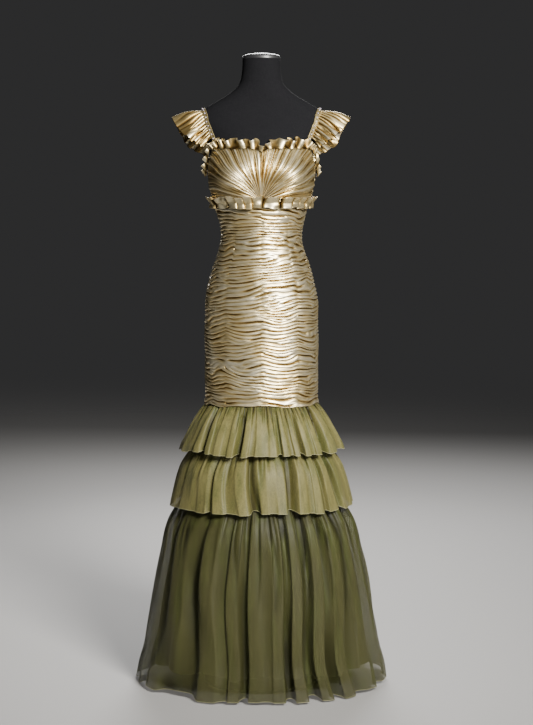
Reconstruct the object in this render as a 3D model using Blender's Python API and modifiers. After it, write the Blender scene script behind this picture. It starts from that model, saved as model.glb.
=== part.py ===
"""A mermaid gown on a limbless dress form, in metres, +Z up, the front towards -Y.

The form's skin is a loft through the levels of one table. Everything worn lies at a stated distance
outside that skin, so pieces never cross. A place on the figure is a turn round the vertical axis,
0 at the front and +90 at the +X side, and a height.
"""

from collections import namedtuple

import bmesh
import bpy
import numpy as np

# The figure, floor to neck: half the width, and the depth in front of and behind the axis.
Level = namedtuple("Level", "height half_width front back")
FIGURE = [
    Level(0.770, 0.1445, 0.1000, 0.1050),
    Level(0.880, 0.1455, 0.1030, 0.1120),
    Level(0.964, 0.1465, 0.1050, 0.1200),
    Level(1.008, 0.1455, 0.1040, 0.1230),
    Level(1.052, 0.1440, 0.1010, 0.1200),
    Level(1.095, 0.1365, 0.0975, 0.1120),
    Level(1.139, 0.1240, 0.0940, 0.1000),
    Level(1.182, 0.1090, 0.0895, 0.0880),
    Level(1.215, 0.1015, 0.0865, 0.0820),
    Level(1.247, 0.1025, 0.0870, 0.0820),
    Level(1.290, 0.1130, 0.0930, 0.0870),
    Level(1.333, 0.1290, 0.1010, 0.0930),
    Level(1.387, 0.1390, 0.1060, 0.0990),
    Level(1.420, 0.1410, 0.1040, 0.1010),
    Level(1.441, 0.1400, 0.0990, 0.1010),
    Level(1.462, 0.1410, 0.0910, 0.1000),
    Level(1.490, 0.1540, 0.0780, 0.0980),
    Level(1.515, 0.1670, 0.0650, 0.0950),
    Level(1.535, 0.1720, 0.0560, 0.0900),
    Level(1.553, 0.1650, 0.0480, 0.0840),
    Level(1.568, 0.1510, 0.0430, 0.0780),
    Level(1.583, 0.1270, 0.0400, 0.0730),
    Level(1.598, 0.1010, 0.0390, 0.0690),
    Level(1.614, 0.0780, 0.0380, 0.0660),
    Level(1.632, 0.0610, 0.0370, 0.0640),
    Level(1.655, 0.0540, 0.0370, 0.0620),
    Level(1.700, 0.0505, 0.0380, 0.0600),
]
FORM_LOW_RINGS = [0.820, 0.900, 0.980, 1.045, 1.100, 1.145, 1.185, 1.220, 1.255, 1.300]
FORM_HIGH_RINGS = [1.345, 1.375, 1.405, 1.440, 1.462, 1.490, 1.515, 1.535]
FORM_NECK_RINGS = [1.553, 1.568, 1.583, 1.598, 1.614, 1.632, 1.655, 1.700]
FORM_RINGS = FORM_LOW_RINGS + FORM_HIGH_RINGS + FORM_NECK_RINGS
FORM_COLUMNS = 28
FORM_BUST = 0.85
FORM_BOTTOM = FORM_RINGS[0]
FORM_TOP = FORM_RINGS[-1]
BUST_TURN = 31.0
BUST_SPREAD = 21.0
BUST_HEIGHT = 1.392
BUST_TALL = 0.042
BUST_OUT = 0.022

# How far outside the form's skin each layer of cloth lies.
GAP = 0.0003
CLOTH_IN = 0.0024
CLOTH_OUT = 0.0044
RUCHE_RELIEF = 0.0048
PLEAT_RELIEF = 0.0030
RUFFLE_IN = 0.0054
RUFFLE_WALL = 0.0017
TIER_WALL = 0.0018

# Heights of the seams.
UNDERBUST = 1.3185
KNEE_SEAM = 0.7740
NECKLINE = 1.4620
UNDERARM = 1.3880
BACK_NECK = 1.4400

# The ruched body: six panels, each between two vertical seams.
Panel = namedtuple("Panel", "name start end columns seed")
PANELS = [
    Panel("body_back_left", -180.0, -90.0, 6, 6),
    Panel("body_side_front_left", -90.0, -40.0, 3, 1),
    Panel("body_centre_front_left", -40.0, 0.0, 3, 2),
    Panel("body_centre_front_right", 0.0, 40.0, 3, 3),
    Panel("body_side_front_right", 40.0, 90.0, 3, 4),
    Panel("body_back_right", 90.0, 180.0, 6, 5),
]
RUCHES = 34
RUCHE_SWAG = 0.009
SEAM_TURN = 0.1

# The bust front is pleated like a fan, from one point at the middle of the underbust seam.
FAN_PLEATS = 34
FAN_START = 0.007
FAN_ROWS = 7
FAN_WIDTH_A_DEGREE = 0.00245

# The skirt: the lining and three gathered tiers. Each level gives the cloth's middle and its wave.
Hang = namedtuple("Hang", "height half_width front_share back_share wave")
LINING = [
    Hang(0.035, 0.2930, 0.770, 0.830, 0.0100),
    Hang(0.096, 0.2850, 0.770, 0.830, 0.0090),
    Hang(0.164, 0.2760, 0.770, 0.830, 0.0080),
    Hang(0.232, 0.2670, 0.765, 0.825, 0.0070),
    Hang(0.299, 0.2560, 0.760, 0.820, 0.0060),
    Hang(0.366, 0.2410, 0.755, 0.810, 0.0050),
    Hang(0.420, 0.2280, 0.750, 0.800, 0.0040),
    Hang(0.461, 0.2150, 0.745, 0.790, 0.0025),
    Hang(0.500, 0.2030, 0.740, 0.780, 0.0010),
    Hang(0.540, 0.1950, 0.730, 0.770, 0.0000),
    Hang(0.600, 0.1800, 0.720, 0.755, 0.0000),
    Hang(0.680, 0.1610, 0.705, 0.740, 0.0000),
    Hang(0.7735, 0.1470, 0.6955, 0.7295, 0.0000),
]
TIER_TOP = [
    Hang(0.640, 0.2160, 0.760, 0.800, 0.0110),
    Hang(0.656, 0.2120, 0.755, 0.795, 0.0110),
    Hang(0.684, 0.2000, 0.750, 0.785, 0.0100),
    Hang(0.711, 0.1870, 0.740, 0.770, 0.0090),
    Hang(0.739, 0.1720, 0.720, 0.755, 0.0070),
    Hang(0.765, 0.1560, 0.705, 0.740, 0.0030),
]
TIER_MIDDLE = [
    Hang(0.489, 0.2435, 0.775, 0.815, 0.0110),
    Hang(0.517, 0.2370, 0.765, 0.810, 0.0105),
    Hang(0.545, 0.2300, 0.760, 0.805, 0.0105),
    Hang(0.573, 0.2220, 0.755, 0.800, 0.0105),
    Hang(0.600, 0.2125, 0.750, 0.795, 0.0105),
    Hang(0.620, 0.2020, 0.745, 0.785, 0.0095),
    Hang(0.640, 0.1890, 0.740, 0.775, 0.0080),
    Hang(0.665, 0.1730, 0.725, 0.760, 0.0050),
]
TIER_LONG = [
    Hang(0.004, 0.3340, 0.780, 0.840, 0.0170),
    Hang(0.051, 0.3260, 0.780, 0.840, 0.0160),
    Hang(0.096, 0.3135, 0.780, 0.840, 0.0150),
    Hang(0.164, 0.3030, 0.780, 0.835, 0.0145),
    Hang(0.232, 0.2935, 0.775, 0.830, 0.0140),
    Hang(0.299, 0.2820, 0.770, 0.825, 0.0135),
    Hang(0.366, 0.2680, 0.765, 0.820, 0.0125),
    Hang(0.420, 0.2570, 0.760, 0.815, 0.0115),
    Hang(0.455, 0.2420, 0.755, 0.810, 0.0100),
    Hang(0.489, 0.2180, 0.740, 0.790, 0.0070),
    Hang(0.520, 0.2050, 0.735, 0.780, 0.0040),
]

# Crests of the folds across the front. The back's are spread evenly between the outermost two.
Fold = namedtuple("Fold", "turn depth")
FOLDS_TOP = [
    Fold(-84, 1.0), Fold(-68, 0.9), Fold(-54, 1.1), Fold(-43, 0.9), Fold(-33, 0.8), Fold(-22, 1.1),
    Fold(-11, 1.1), Fold(-2, 0.7), Fold(7, 0.7), Fold(16, 1.0), Fold(25, 0.9), Fold(34, 0.9),
    Fold(45, 1.1), Fold(60, 1.1), Fold(80, 1.0),
]
FOLDS_MIDDLE = [
    Fold(-80, 0.9), Fold(-62, 0.8), Fold(-43, 0.9), Fold(-29, 1.1), Fold(-13, 1.2), Fold(1, 0.8),
    Fold(13, 0.9), Fold(29, 1.2), Fold(39, 0.8), Fold(50, 0.9), Fold(64, 1.0), Fold(82, 0.9),
]
FOLDS_LONG = [
    Fold(-78, 0.8), Fold(-54, 0.9), Fold(-28, 1.2), Fold(-14, 1.0), Fold(-4, 0.6), Fold(8, 0.9),
    Fold(18, 0.9), Fold(31, 1.1), Fold(44, 1.1), Fold(62, 0.9), Fold(82, 0.8),
]
BACK_FOLDS_TOP = 10
BACK_FOLDS_MIDDLE = 9
BACK_FOLDS_LONG = 9
STEPS_A_FOLD = 4

# The ruffles at the neckline and under the bust.
NECK_WAVES = 20
NECK_RUFFLE_TALL = 0.024
ARMHOLE_RUFFLE_TALL = 0.012
NECK_RUFFLE_OUT = 0.012
NECK_RUFFLE_LAP = 0.003
WAIST_WAVES = 20
WAIST_RUFFLE_TALL = 0.027
WAIST_RUFFLE_MIDDLE = 1.3150
WAIST_RUFFLE_IN = 0.0092
WAIST_RUFFLE_OUT = 0.0120

# The strap runs over the shoulder from the front neckline to the back one.
Stop = namedtuple("Stop", "share turn height")
STRAP_PATH = [
    Stop(0.00, 57.0, 1.4605),
    Stop(0.13, 55.5, 1.4950),
    Stop(0.27, 56.5, 1.5270),
    Stop(0.37, 62.0, 1.5490),
    Stop(0.44, 74.0, 1.5610),
    Stop(0.50, 90.0, 1.5645),
    Stop(0.56, 106.0, 1.5610),
    Stop(0.63, 119.0, 1.5490),
    Stop(0.74, 125.0, 1.5250),
    Stop(0.87, 128.0, 1.4850),
    Stop(1.00, 131.0, 1.4420),
]
STRAP_WIDE = 0.011
STRAP_IN = 0.0012
STRAP_WALL = 0.0016
STRAP_STEPS = 18

# The flutter sleeve stands out from the strap: its length and direction along the strap.
Flare = namedtuple("Flare", "share length out forward up")
SLEEVE = [
    Flare(0.00, 0.034, 0.80, 0.42, -0.30),
    Flare(0.25, 0.062, 0.86, 0.30, -0.34),
    Flare(0.50, 0.074, 0.97, 0.00, -0.24),
    Flare(0.75, 0.070, 0.86, -0.24, -0.38),
    Flare(1.00, 0.040, 0.80, -0.20, -0.40),
]
SLEEVE_FROM = 0.120
SLEEVE_TO = 0.890
SLEEVE_FOLDS = 9
SLEEVE_WAVE = 0.0065
SLEEVE_WALL = 0.0015
SLEEVE_ROWS = 3

# The stand under the form.
BASE_RADIUS = 0.160
BASE_THICK = 0.008
HUB_RADIUS = 0.028
HUB_TALL = 0.040
POLE_RADIUS = 0.0125
CAP_TALL = 0.016


def smooth_curve(rows, name, at):
    """A column of a table as a smooth curve over its first column: cubic pieces with averaged slopes."""
    x = np.array([row[0] for row in rows], float)
    y = np.array([getattr(row, name) for row in rows], float)
    slope = np.gradient(y, x)
    at = np.clip(at, x[0], x[-1])
    i = np.clip(np.searchsorted(x, at) - 1, 0, len(x) - 2)
    step = x[i + 1] - x[i]
    t = (at - x[i]) / step
    start = (1 + 2 * t) * (1 - t) ** 2 * y[i] + t * (1 - t) ** 2 * step * slope[i]
    end = t * t * (3 - 2 * t) * y[i + 1] + t * t * (t - 1) * step * slope[i + 1]
    return start + end


def ease(x):
    """0 below 0, 1 above 1, and a smooth step between."""
    x = np.clip(x, 0.0, 1.0)
    return x * x * (3 - 2 * x)


def oval_point(turn, half_width, front, back, height):
    """A point of a level's outline: two half ellipses that meet at the sides."""
    turn = np.radians(turn)
    depth = np.where(np.cos(turn) > 0, front, back)
    return np.stack(
        np.broadcast_arrays(half_width * np.sin(turn), -depth * np.cos(turn), height), axis=-1
    )


def bust_swell(turn, height):
    """How far the two sides of the bust stand out of the plain loft."""
    tall = np.exp(-(((height - BUST_HEIGHT) / BUST_TALL) ** 2))
    left = np.exp(-(((turn + BUST_TURN) / BUST_SPREAD) ** 2))
    right = np.exp(-(((turn - BUST_TURN) / BUST_SPREAD) ** 2))
    return BUST_OUT * tall * (left + right)


def figure_point(turn, height, out, bust=1.0):
    """A point that lies out metres outside the form's skin. The gown's cups are a little fuller."""
    turn = np.asarray(turn, float)
    height = np.asarray(height, float)
    more = out + bust * bust_swell(turn, height)
    return oval_point(
        turn,
        smooth_curve(FIGURE, "half_width", height) + more,
        smooth_curve(FIGURE, "front", height) + more,
        smooth_curve(FIGURE, "back", height) + more,
        height,
    )


def hang_point(rows, turn, height, out):
    """A point of a skirt layer, out metres outside the inner face of its middle."""
    half_width = smooth_curve(rows, "half_width", height)
    return oval_point(
        turn,
        half_width + out,
        half_width * smooth_curve(rows, "front_share", height) + out,
        half_width * smooth_curve(rows, "back_share", height) + out,
        height,
    )


def neckline_height(turn):
    """The bodice's top edge: level in front with a small dip, lower under the arm, level behind."""
    away = np.abs(turn)
    dip = 0.009 * np.exp(-((away / 6.0) ** 2))
    front = NECKLINE - dip - (NECKLINE - UNDERARM) * ease((away - 60.0) / 30.0)
    back = UNDERARM + (BACK_NECK - UNDERARM) * ease((away - 90.0) / 35.0)
    return np.where(away < 90.0, front, back)


def new_material(name, colour, roughness, metallic=0.0):
    material = bpy.data.materials.new(name)
    material.use_nodes = True
    shader = material.node_tree.nodes["Principled BSDF"]
    shader.inputs["Base Color"].default_value = (*colour, 1.0)
    shader.inputs["Roughness"].default_value = roughness
    shader.inputs["Metallic"].default_value = metallic
    return material


def add_object(bm, name, material, smooth=False):
    """Turns a bmesh into a named object of the gown's collection, faces pointing out."""
    bmesh.ops.recalc_face_normals(bm, faces=bm.faces)
    mesh = bpy.data.meshes.new(name)
    bm.to_mesh(mesh)
    bm.free()
    mesh.materials.append(material)
    if smooth:
        mesh.shade_smooth()
        mesh.set_sharp_from_angle(angle=np.radians(40))
    obj = bpy.data.objects.new(name, mesh)
    bpy.data.collections["mermaid_gown"].objects.link(obj)
    return obj


def fill_between(bm, first, second):
    """Fills the strip between two runs of vertices, which may differ in number."""
    i = j = 0
    last_i, last_j = len(first) - 1, len(second) - 1
    while i < last_i or j < last_j:
        if j == last_j or (i < last_i and (2 * i + 1) * last_j <= (2 * j + 1) * last_i):
            bm.faces.new((first[i], first[i + 1], second[j]))
            i += 1
        else:
            bm.faces.new((first[i], second[j + 1], second[j]))
            j += 1


def grid_faces(bm, points, closed):
    """Adds a grid of points as quads and returns its vertices as rows."""
    rows = [[bm.verts.new(p) for p in row] for row in points]
    if closed:
        rows = [row + row[:1] for row in rows]
    for upper, lower in zip(rows, rows[1:]):
        for c in range(len(upper) - 1):
            bm.faces.new((upper[c], lower[c], lower[c + 1], upper[c + 1]))
    return rows


def cloth_wall(name, outer, inner, material, closed=False):
    """One closed solid between two grids of points, top row first, with its edges filled."""
    bm = bmesh.new()
    out_rows = grid_faces(bm, outer, closed)
    in_rows = grid_faces(bm, inner, closed)
    fill_between(bm, out_rows[0], in_rows[0])
    fill_between(bm, out_rows[-1], in_rows[-1])
    if not closed:
        for side in (0, -1):
            fill_between(bm, [row[side] for row in out_rows], [row[side] for row in in_rows])
    return add_object(bm, name, material, smooth=True)


def make_form(fabric, metal):
    """The form's torso and neck as one loft, its neck cap, and the stand that carries it."""
    heights = np.array(FORM_RINGS[::-1])[:, None]
    turns = (np.arange(FORM_COLUMNS) * 360.0 / FORM_COLUMNS - 180.0)[None, :]
    bm = bmesh.new()
    rings = grid_faces(bm, figure_point(turns, heights, 0.0, FORM_BUST), closed=True)
    bm.faces.new(rings[0][:-1])
    bm.faces.new(rings[-1][:-1])
    add_object(bm, "form_torso", fabric, smooth=True)

    cap_rows = np.array([[1.00, 0.0], [1.00, 0.5], [0.86, 0.82], [0.50, 0.97], [0.12, 1.0]])
    top = FIGURE[-1]
    share, lift = cap_rows[::-1, 0][:, None], cap_rows[::-1, 1][:, None]
    bm = bmesh.new()
    height = FORM_TOP + GAP + lift * CAP_TALL
    cap = oval_point(turns, top.half_width * share, top.front * share, top.back * share, height)
    middle = (top.back - top.front) / 2
    cap[..., 1] += middle * (1 - share)
    rings = grid_faces(bm, cap, closed=True)
    bm.faces.new(rings[0][:-1])
    bm.faces.new(rings[-1][:-1])
    add_object(bm, "form_neck_cap", metal, smooth=True)


def turned(name, profile, material, steps=32):
    """A turned shape: a profile of radius and height, top to bottom, swept by a Screw modifier."""
    mesh = bpy.data.meshes.new(name)
    points = [(radius, 0.0, height) for radius, height in profile]
    mesh.from_pydata(points, [(i, i + 1) for i in range(len(points) - 1)], [])
    mesh.materials.append(material)
    obj = bpy.data.objects.new(name, mesh)
    bpy.data.collections["mermaid_gown"].objects.link(obj)
    screw = obj.modifiers.new("turn", "SCREW")
    screw.steps = steps
    screw.render_steps = steps
    screw.use_merge_vertices = True
    screw.merge_threshold = 0.00001
    return obj


def make_stand(metal):
    """A round base plate with a hub, and the pole between the hub and the form."""
    hub_top = BASE_THICK + HUB_TALL
    edge = 0.002
    turned(
        "stand_base",
        [
            (0.0, hub_top),
            (HUB_RADIUS - edge, hub_top),
            (HUB_RADIUS, hub_top - edge),
            (HUB_RADIUS, BASE_THICK + edge),
            (HUB_RADIUS + edge, BASE_THICK),
            (BASE_RADIUS - edge, BASE_THICK),
            (BASE_RADIUS, BASE_THICK - edge),
            (BASE_RADIUS, 0.0),
            (0.0, 0.0),
        ],
        metal,
    )
    bottom, top = hub_top + GAP, FORM_BOTTOM - GAP
    turned(
        "stand_pole",
        [(0.0, top), (POLE_RADIUS, top), (POLE_RADIUS, bottom), (0.0, bottom)],
        metal,
        steps=20,
    )


def make_body_panel(panel, satin):
    """One ruched panel: crests and troughs raised in the outer face, a plain inner face."""
    random = np.random.default_rng(panel.seed)
    rows = 2 * RUCHES + 1
    share = np.linspace(0.0, 1.0, panel.columns + 1)[None, :]
    turns = panel.start + SEAM_TURN + share * (panel.end - panel.start - 2 * SEAM_TURN)
    down = np.linspace(0.0, 1.0, rows)[:, None]
    top, bottom = UNDERBUST - GAP, KNEE_SEAM
    shift = random.uniform(-0.0009, 0.0009, (rows, 1)) * np.sin(np.pi * down)
    swag = RUCHE_SWAG * down * np.sin(np.pi * down) * np.sin(np.pi * share)
    heights = top + (bottom - top) * down + shift - swag
    crest = (np.arange(rows) % 2)[:, None] * random.uniform(0.7, 1.0, (rows, 1))
    seam_dip = 1.0 - 0.78 * np.abs(2 * share - 1) ** 6
    outer = figure_point(turns, heights, CLOTH_OUT + RUCHE_RELIEF * crest * seam_dip)
    plain = np.linspace(top, bottom, 18)[:, None]
    inner = figure_point(turns, plain, CLOTH_IN)
    return cloth_wall(panel.name, outer, inner, satin)


def fan_curve(angle, rows):
    """One pleat of the fan, from its point to the panel's edge, as turns and heights.

    The pleat heads for the edge at its angle above the underbust seam, and bows upwards at the sides.
    """
    side = 90.0 - SEAM_TURN
    reach = np.linspace(0.0, 0.30, 601)
    turn = reach * np.cos(np.radians(angle)) / FAN_WIDTH_A_DEGREE
    height = UNDERBUST + reach * np.sin(np.radians(angle))
    inside = (np.abs(turn) <= side) & (height <= neckline_height(turn))
    end = reach[inside].max()
    end_turn = np.clip(end * np.cos(np.radians(angle)) / FAN_WIDTH_A_DEGREE, -side, side)
    end_height = UNDERBUST + end * np.sin(np.radians(angle))
    start_turn = FAN_START * np.cos(np.radians(angle)) / FAN_WIDTH_A_DEGREE
    start_height = UNDERBUST + FAN_START * np.sin(np.radians(angle))
    bow = 0.30 * (end_height - UNDERBUST) * np.abs(end_turn) / side
    middle_turn = (start_turn + end_turn) / 2
    middle_height = (start_height + end_height) / 2 + bow
    t = np.linspace(0.0, 1.0, rows + 1)
    turns = (1 - t) ** 2 * start_turn + 2 * t * (1 - t) * middle_turn + t * t * end_turn
    heights = (1 - t) ** 2 * start_height + 2 * t * (1 - t) * middle_height + t * t * end_height
    return turns, heights


def fan_grid(angles, out):
    """The fan's points, one column a pleat line, top row at the panel's edge."""
    curves = [fan_curve(angle, FAN_ROWS) for angle in angles]
    turns = np.array([c[0][::-1] for c in curves]).T
    heights = np.array([c[1][::-1] for c in curves]).T
    return figure_point(turns, heights, out)


def make_bust(satin):
    """The fan-pleated front and the plain back, which meet at the side seams."""
    angles = np.linspace(180.0, 0.0, 2 * FAN_PLEATS + 1)
    ridge = (np.arange(len(angles)) % 2)[None, :]
    from_point = np.linspace(1.0, 0.0, FAN_ROWS + 1)[:, None]
    swell = np.clip(1.25 * np.sin(np.pi * from_point**0.8), 0.0, 1.0)
    outer = fan_grid(angles, CLOTH_OUT + PLEAT_RELIEF * ridge * swell)
    inner = fan_grid(angles[::4], CLOTH_IN)
    cloth_wall("bust_front", outer, inner, satin)
    for name, start, end in (("bust_back_left", -180.0, -90.0), ("bust_back_right", 90.0, 180.0)):
        turns = np.linspace(start + SEAM_TURN, end - SEAM_TURN, 8)[None, :]
        down = np.linspace(0.0, 1.0, 5)[:, None]
        tops = neckline_height(turns)
        heights = tops + (UNDERBUST - tops) * down
        cloth_wall(
            name,
            figure_point(turns, heights, CLOTH_OUT),
            figure_point(turns, heights, CLOTH_IN),
            satin,
        )


def make_neck_ruffle(satin):
    """A gathered frill that stands on the bodice's top edge all the way round."""
    columns = NECK_WAVES * STEPS_A_FOLD
    phase = np.arange(columns)[None, :] / STEPS_A_FOLD
    turns = phase * 360.0 / NECK_WAVES - 180.0
    up = np.array([1.0, 0.0])[:, None]
    away = np.abs(turns)
    at_arm = ease((away - 46.0) / 10.0) * (1 - ease((away - 120.0) / 20.0))
    tall = NECK_RUFFLE_TALL + (ARMHOLE_RUFFLE_TALL - NECK_RUFFLE_TALL) * at_arm
    tall = np.where(away > 100.0, np.minimum(tall, 0.015), tall)
    tall = tall * (0.86 + 0.14 * np.cos(2 * np.pi * phase))
    depth = 0.75 + 0.25 * np.sin(3.1 * np.radians(turns) + 0.7)
    wave = 0.5 + 0.5 * np.cos(2 * np.pi * phase)
    out = RUFFLE_IN + NECK_RUFFLE_OUT * depth * (0.12 + 0.88 * up) * wave + 0.004 * at_arm * up
    heights = neckline_height(turns) - NECK_RUFFLE_LAP + (NECK_RUFFLE_LAP + tall) * up
    outer = figure_point(turns, heights, out + RUFFLE_WALL)
    inner = figure_point(turns, heights, out)
    cloth_wall("neckline_ruffle", outer, inner, satin, closed=True)


def make_waist_ruffle(satin):
    """The band of box-like gathers under the bust, sewn on along its middle."""
    columns = WAIST_WAVES * STEPS_A_FOLD
    phase = np.arange(columns)[None, :] / STEPS_A_FOLD
    turns = phase * 360.0 / WAIST_WAVES - 180.0
    across = np.array([1.0, 0.0, -1.0])[:, None]
    heights = WAIST_RUFFLE_MIDDLE + across * WAIST_RUFFLE_TALL / 2
    wave = 0.5 + 0.5 * np.cos(2 * np.pi * phase)
    out = WAIST_RUFFLE_IN + WAIST_RUFFLE_OUT * (0.55 + 0.45 * across**2) * wave
    turns = np.broadcast_to(turns, out.shape)
    outer = figure_point(turns, heights, out + RUFFLE_WALL)
    inner = figure_point(turns, heights, out)
    cloth_wall("underbust_ruffle", outer, inner, satin, closed=True)


def strap_frame(side, share):
    """The strap's middle line on the form, with its directions along, out of the skin and outwards."""
    def place(at, out):
        turn = side * smooth_curve(STRAP_PATH, "turn", at)
        return figure_point(turn, smooth_curve(STRAP_PATH, "height", at), out)

    step = 0.004
    line = place(share, STRAP_IN)
    along = place(share + step, STRAP_IN) - place(share - step, STRAP_IN)
    along /= np.linalg.norm(along, axis=-1, keepdims=True)
    turn = side * smooth_curve(STRAP_PATH, "turn", share)
    height = smooth_curve(STRAP_PATH, "height", share)
    round_way = figure_point(turn + 0.5, height, 0.0) - figure_point(turn - 0.5, height, 0.0)
    up_way = figure_point(turn, height + 0.002, 0.0) - figure_point(turn, height - 0.002, 0.0)
    skin = np.cross(round_way, up_way)
    skin /= np.linalg.norm(skin, axis=-1, keepdims=True)
    outwards = side * np.cross(along, skin)
    outwards /= np.linalg.norm(outwards, axis=-1, keepdims=True)
    return line, skin, outwards


def make_strap(side, name, braid):
    """A flat band that follows the form over the shoulder."""
    share = np.linspace(0.012, 0.988, STRAP_STEPS + 1)
    line, skin, outwards = strap_frame(side, share)
    half = STRAP_WIDE / 2
    edges = [line + outwards * half, line, line - outwards * half]
    lift = np.array([0.0006, 0.0, 0.0006])
    inner = np.array([edge + skin * up for edge, up in zip(edges, lift)])
    outer = inner + skin[None] * STRAP_WALL
    cloth_wall(name, outer, inner, braid)


def sleeve_surface(side, share, across, wave):
    """A sleeve's points: from the strap's outer edge, along the direction that the table gives."""
    at = SLEEVE_FROM + (SLEEVE_TO - SLEEVE_FROM) * share
    line, skin, outwards = strap_frame(side, at)
    root = line + outwards * (STRAP_WIDE / 2 + SLEEVE_WALL) + skin * 0.0012
    way = np.stack(
        [
            side * smooth_curve(SLEEVE, "out", share),
            -smooth_curve(SLEEVE, "forward", share),
            smooth_curve(SLEEVE, "up", share),
        ],
        axis=-1,
    )
    way /= np.linalg.norm(way, axis=-1, keepdims=True)
    reach = smooth_curve(SLEEVE, "length", share)[:, None] * way
    along = np.gradient(root + reach, axis=0)
    lift = side * np.cross(along, way)
    lift /= np.linalg.norm(lift, axis=-1, keepdims=True)
    lift *= np.where(lift[:, 2:] < 0, -1.0, 1.0)
    across = across[:, None, None]
    droop = -0.006 * across * across * np.array([0.0, 0.0, 1.0])
    return root + reach * across + lift * wave * across**1.2 + droop


def make_sleeve(side, name, satin):
    """A gathered flutter sleeve, whose folds deepen towards its free edge."""
    columns = SLEEVE_FOLDS * STEPS_A_FOLD
    share = np.linspace(0.0, 1.0, columns + 1)
    fold = np.cos(2 * np.pi * share * SLEEVE_FOLDS)
    wave = SLEEVE_WAVE * (0.8 + 0.2 * np.sin(7 * share)) * (fold + 0.6) * np.sin(np.pi * share) ** 0.5
    middle = sleeve_surface(side, share, np.linspace(0.0, 1.0, SLEEVE_ROWS + 1), wave[:, None])
    normal = np.cross(np.gradient(middle, axis=0), np.gradient(middle, axis=1))
    normal /= np.linalg.norm(normal, axis=-1, keepdims=True)
    half = SLEEVE_WALL / 2
    cloth_wall(name, middle + normal * half, middle - normal * half, satin)


def all_folds(front, back_count):
    """The front's crests and the back's, in order of turn, with the back's spread evenly."""
    gap = (front[0].turn + 360.0 - front[-1].turn) / (back_count + 1)
    back = [
        Fold(front[-1].turn + gap * (i + 1), 0.95 + 0.15 * (-1) ** i) for i in range(back_count)
    ]
    return sorted(front + [Fold((f.turn + 180.0) % 360.0 - 180.0, f.depth) for f in back])


def fold_columns(folds, steps):
    """Turns, depths and waves of the columns: each fold runs crest, flank, trough, flank."""
    count = len(folds)
    turns = np.array([f.turn for f in folds] + [folds[0].turn + 360.0])
    depths = np.array([f.depth for f in folds] + [folds[0].depth])
    phase = np.arange(count * steps) / steps
    whole = np.arange(count + 1)
    wave = np.cos(2 * np.pi * phase)
    return np.interp(phase, whole, turns), np.interp(phase, whole, depths), wave


def make_tier(name, rows, seam_height, folds, chiffon, row_count):
    """A gathered tier that hangs from its seam on the lining to its hem."""
    turns, depths, wave = (c[None, :] for c in fold_columns(folds, STEPS_A_FOLD))
    seam_out = smooth_curve(LINING, "half_width", seam_height) + TIER_WALL + GAP
    share_in_front = smooth_curve(LINING, "front_share", seam_height)
    share_behind = smooth_curve(LINING, "back_share", seam_height)
    seam = Hang(seam_height, seam_out, share_in_front, share_behind, 0.0)
    seam_front = (seam_out - TIER_WALL - GAP) * share_in_front + TIER_WALL + GAP
    seam_back = (seam_out - TIER_WALL - GAP) * share_behind + TIER_WALL + GAP
    seam = seam._replace(front_share=seam_front / seam_out, back_share=seam_back / seam_out)
    rows = rows + [seam]
    down = np.linspace(0.0, 1.0, row_count + 1)[:, None] ** 1.15
    hem = rows[0].height + 0.006 * (1 - wave) / 2 * np.ones_like(down)
    heights = seam_height + (hem - seam_height) * down
    amplitude = smooth_curve(rows, "wave", heights)
    out = amplitude * depths * np.where(wave > 0, wave * 0.9, wave)
    turns = np.broadcast_to(turns, heights.shape)
    outer = hang_point(rows, turns, heights, out + TIER_WALL)
    inner = hang_point(rows, turns, heights, out)
    cloth_wall(name, outer, inner, chiffon, closed=True)


def make_lining(cloth):
    """The opaque underskirt, plain above the long tier's seam and softly waved below."""
    turns, depths, wave = (c[None, :] for c in fold_columns(all_folds(FOLDS_LONG, BACK_FOLDS_LONG), 2))
    heights = np.array([LINING[-1].height, 0.68, 0.54, 0.42, 0.24, LINING[0].height])[:, None]
    out = smooth_curve(LINING, "wave", heights) * depths * wave
    turns = np.broadcast_to(turns, out.shape)
    outer = hang_point(LINING, turns, heights, out + TIER_WALL)
    inner = hang_point(LINING, turns, heights, out)
    cloth_wall("skirt_lining", outer, inner, cloth, closed=True)


def clear_scene():
    for obj in list(bpy.data.objects):
        bpy.data.objects.remove(obj)
    collection = bpy.data.collections.new("mermaid_gown")
    bpy.context.scene.collection.children.link(collection)


def main():
    clear_scene()
    satin = new_material("gold_satin", (0.66, 0.56, 0.33), 0.32)
    chiffon = new_material("green_gold_chiffon", (0.46, 0.44, 0.23), 0.55)
    lining = new_material("green_lining", (0.33, 0.35, 0.18), 0.60)
    braid = new_material("gold_braid", (0.40, 0.33, 0.16), 0.40, 0.5)
    jersey = new_material("black_jersey", (0.012, 0.012, 0.014), 0.80)
    steel = new_material("black_steel", (0.02, 0.02, 0.02), 0.35, 0.8)

    make_form(jersey, steel)
    make_stand(steel)
    for panel in PANELS:
        make_body_panel(panel, satin)
    make_bust(satin)
    make_neck_ruffle(satin)
    make_waist_ruffle(satin)
    for side, where in ((-1, "left"), (1, "right")):
        make_strap(side, f"strap_{where}", braid)
        make_sleeve(side, f"sleeve_{where}", satin)
    make_lining(lining)
    make_tier("tier_top", TIER_TOP, LINING[-1].height, all_folds(FOLDS_TOP, BACK_FOLDS_TOP), chiffon, 2)
    make_tier("tier_middle", TIER_MIDDLE, 0.68, all_folds(FOLDS_MIDDLE, BACK_FOLDS_MIDDLE), chiffon, 3)
    make_tier("tier_long", TIER_LONG, 0.54, all_folds(FOLDS_LONG, BACK_FOLDS_LONG), chiffon, 5)


main()
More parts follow.
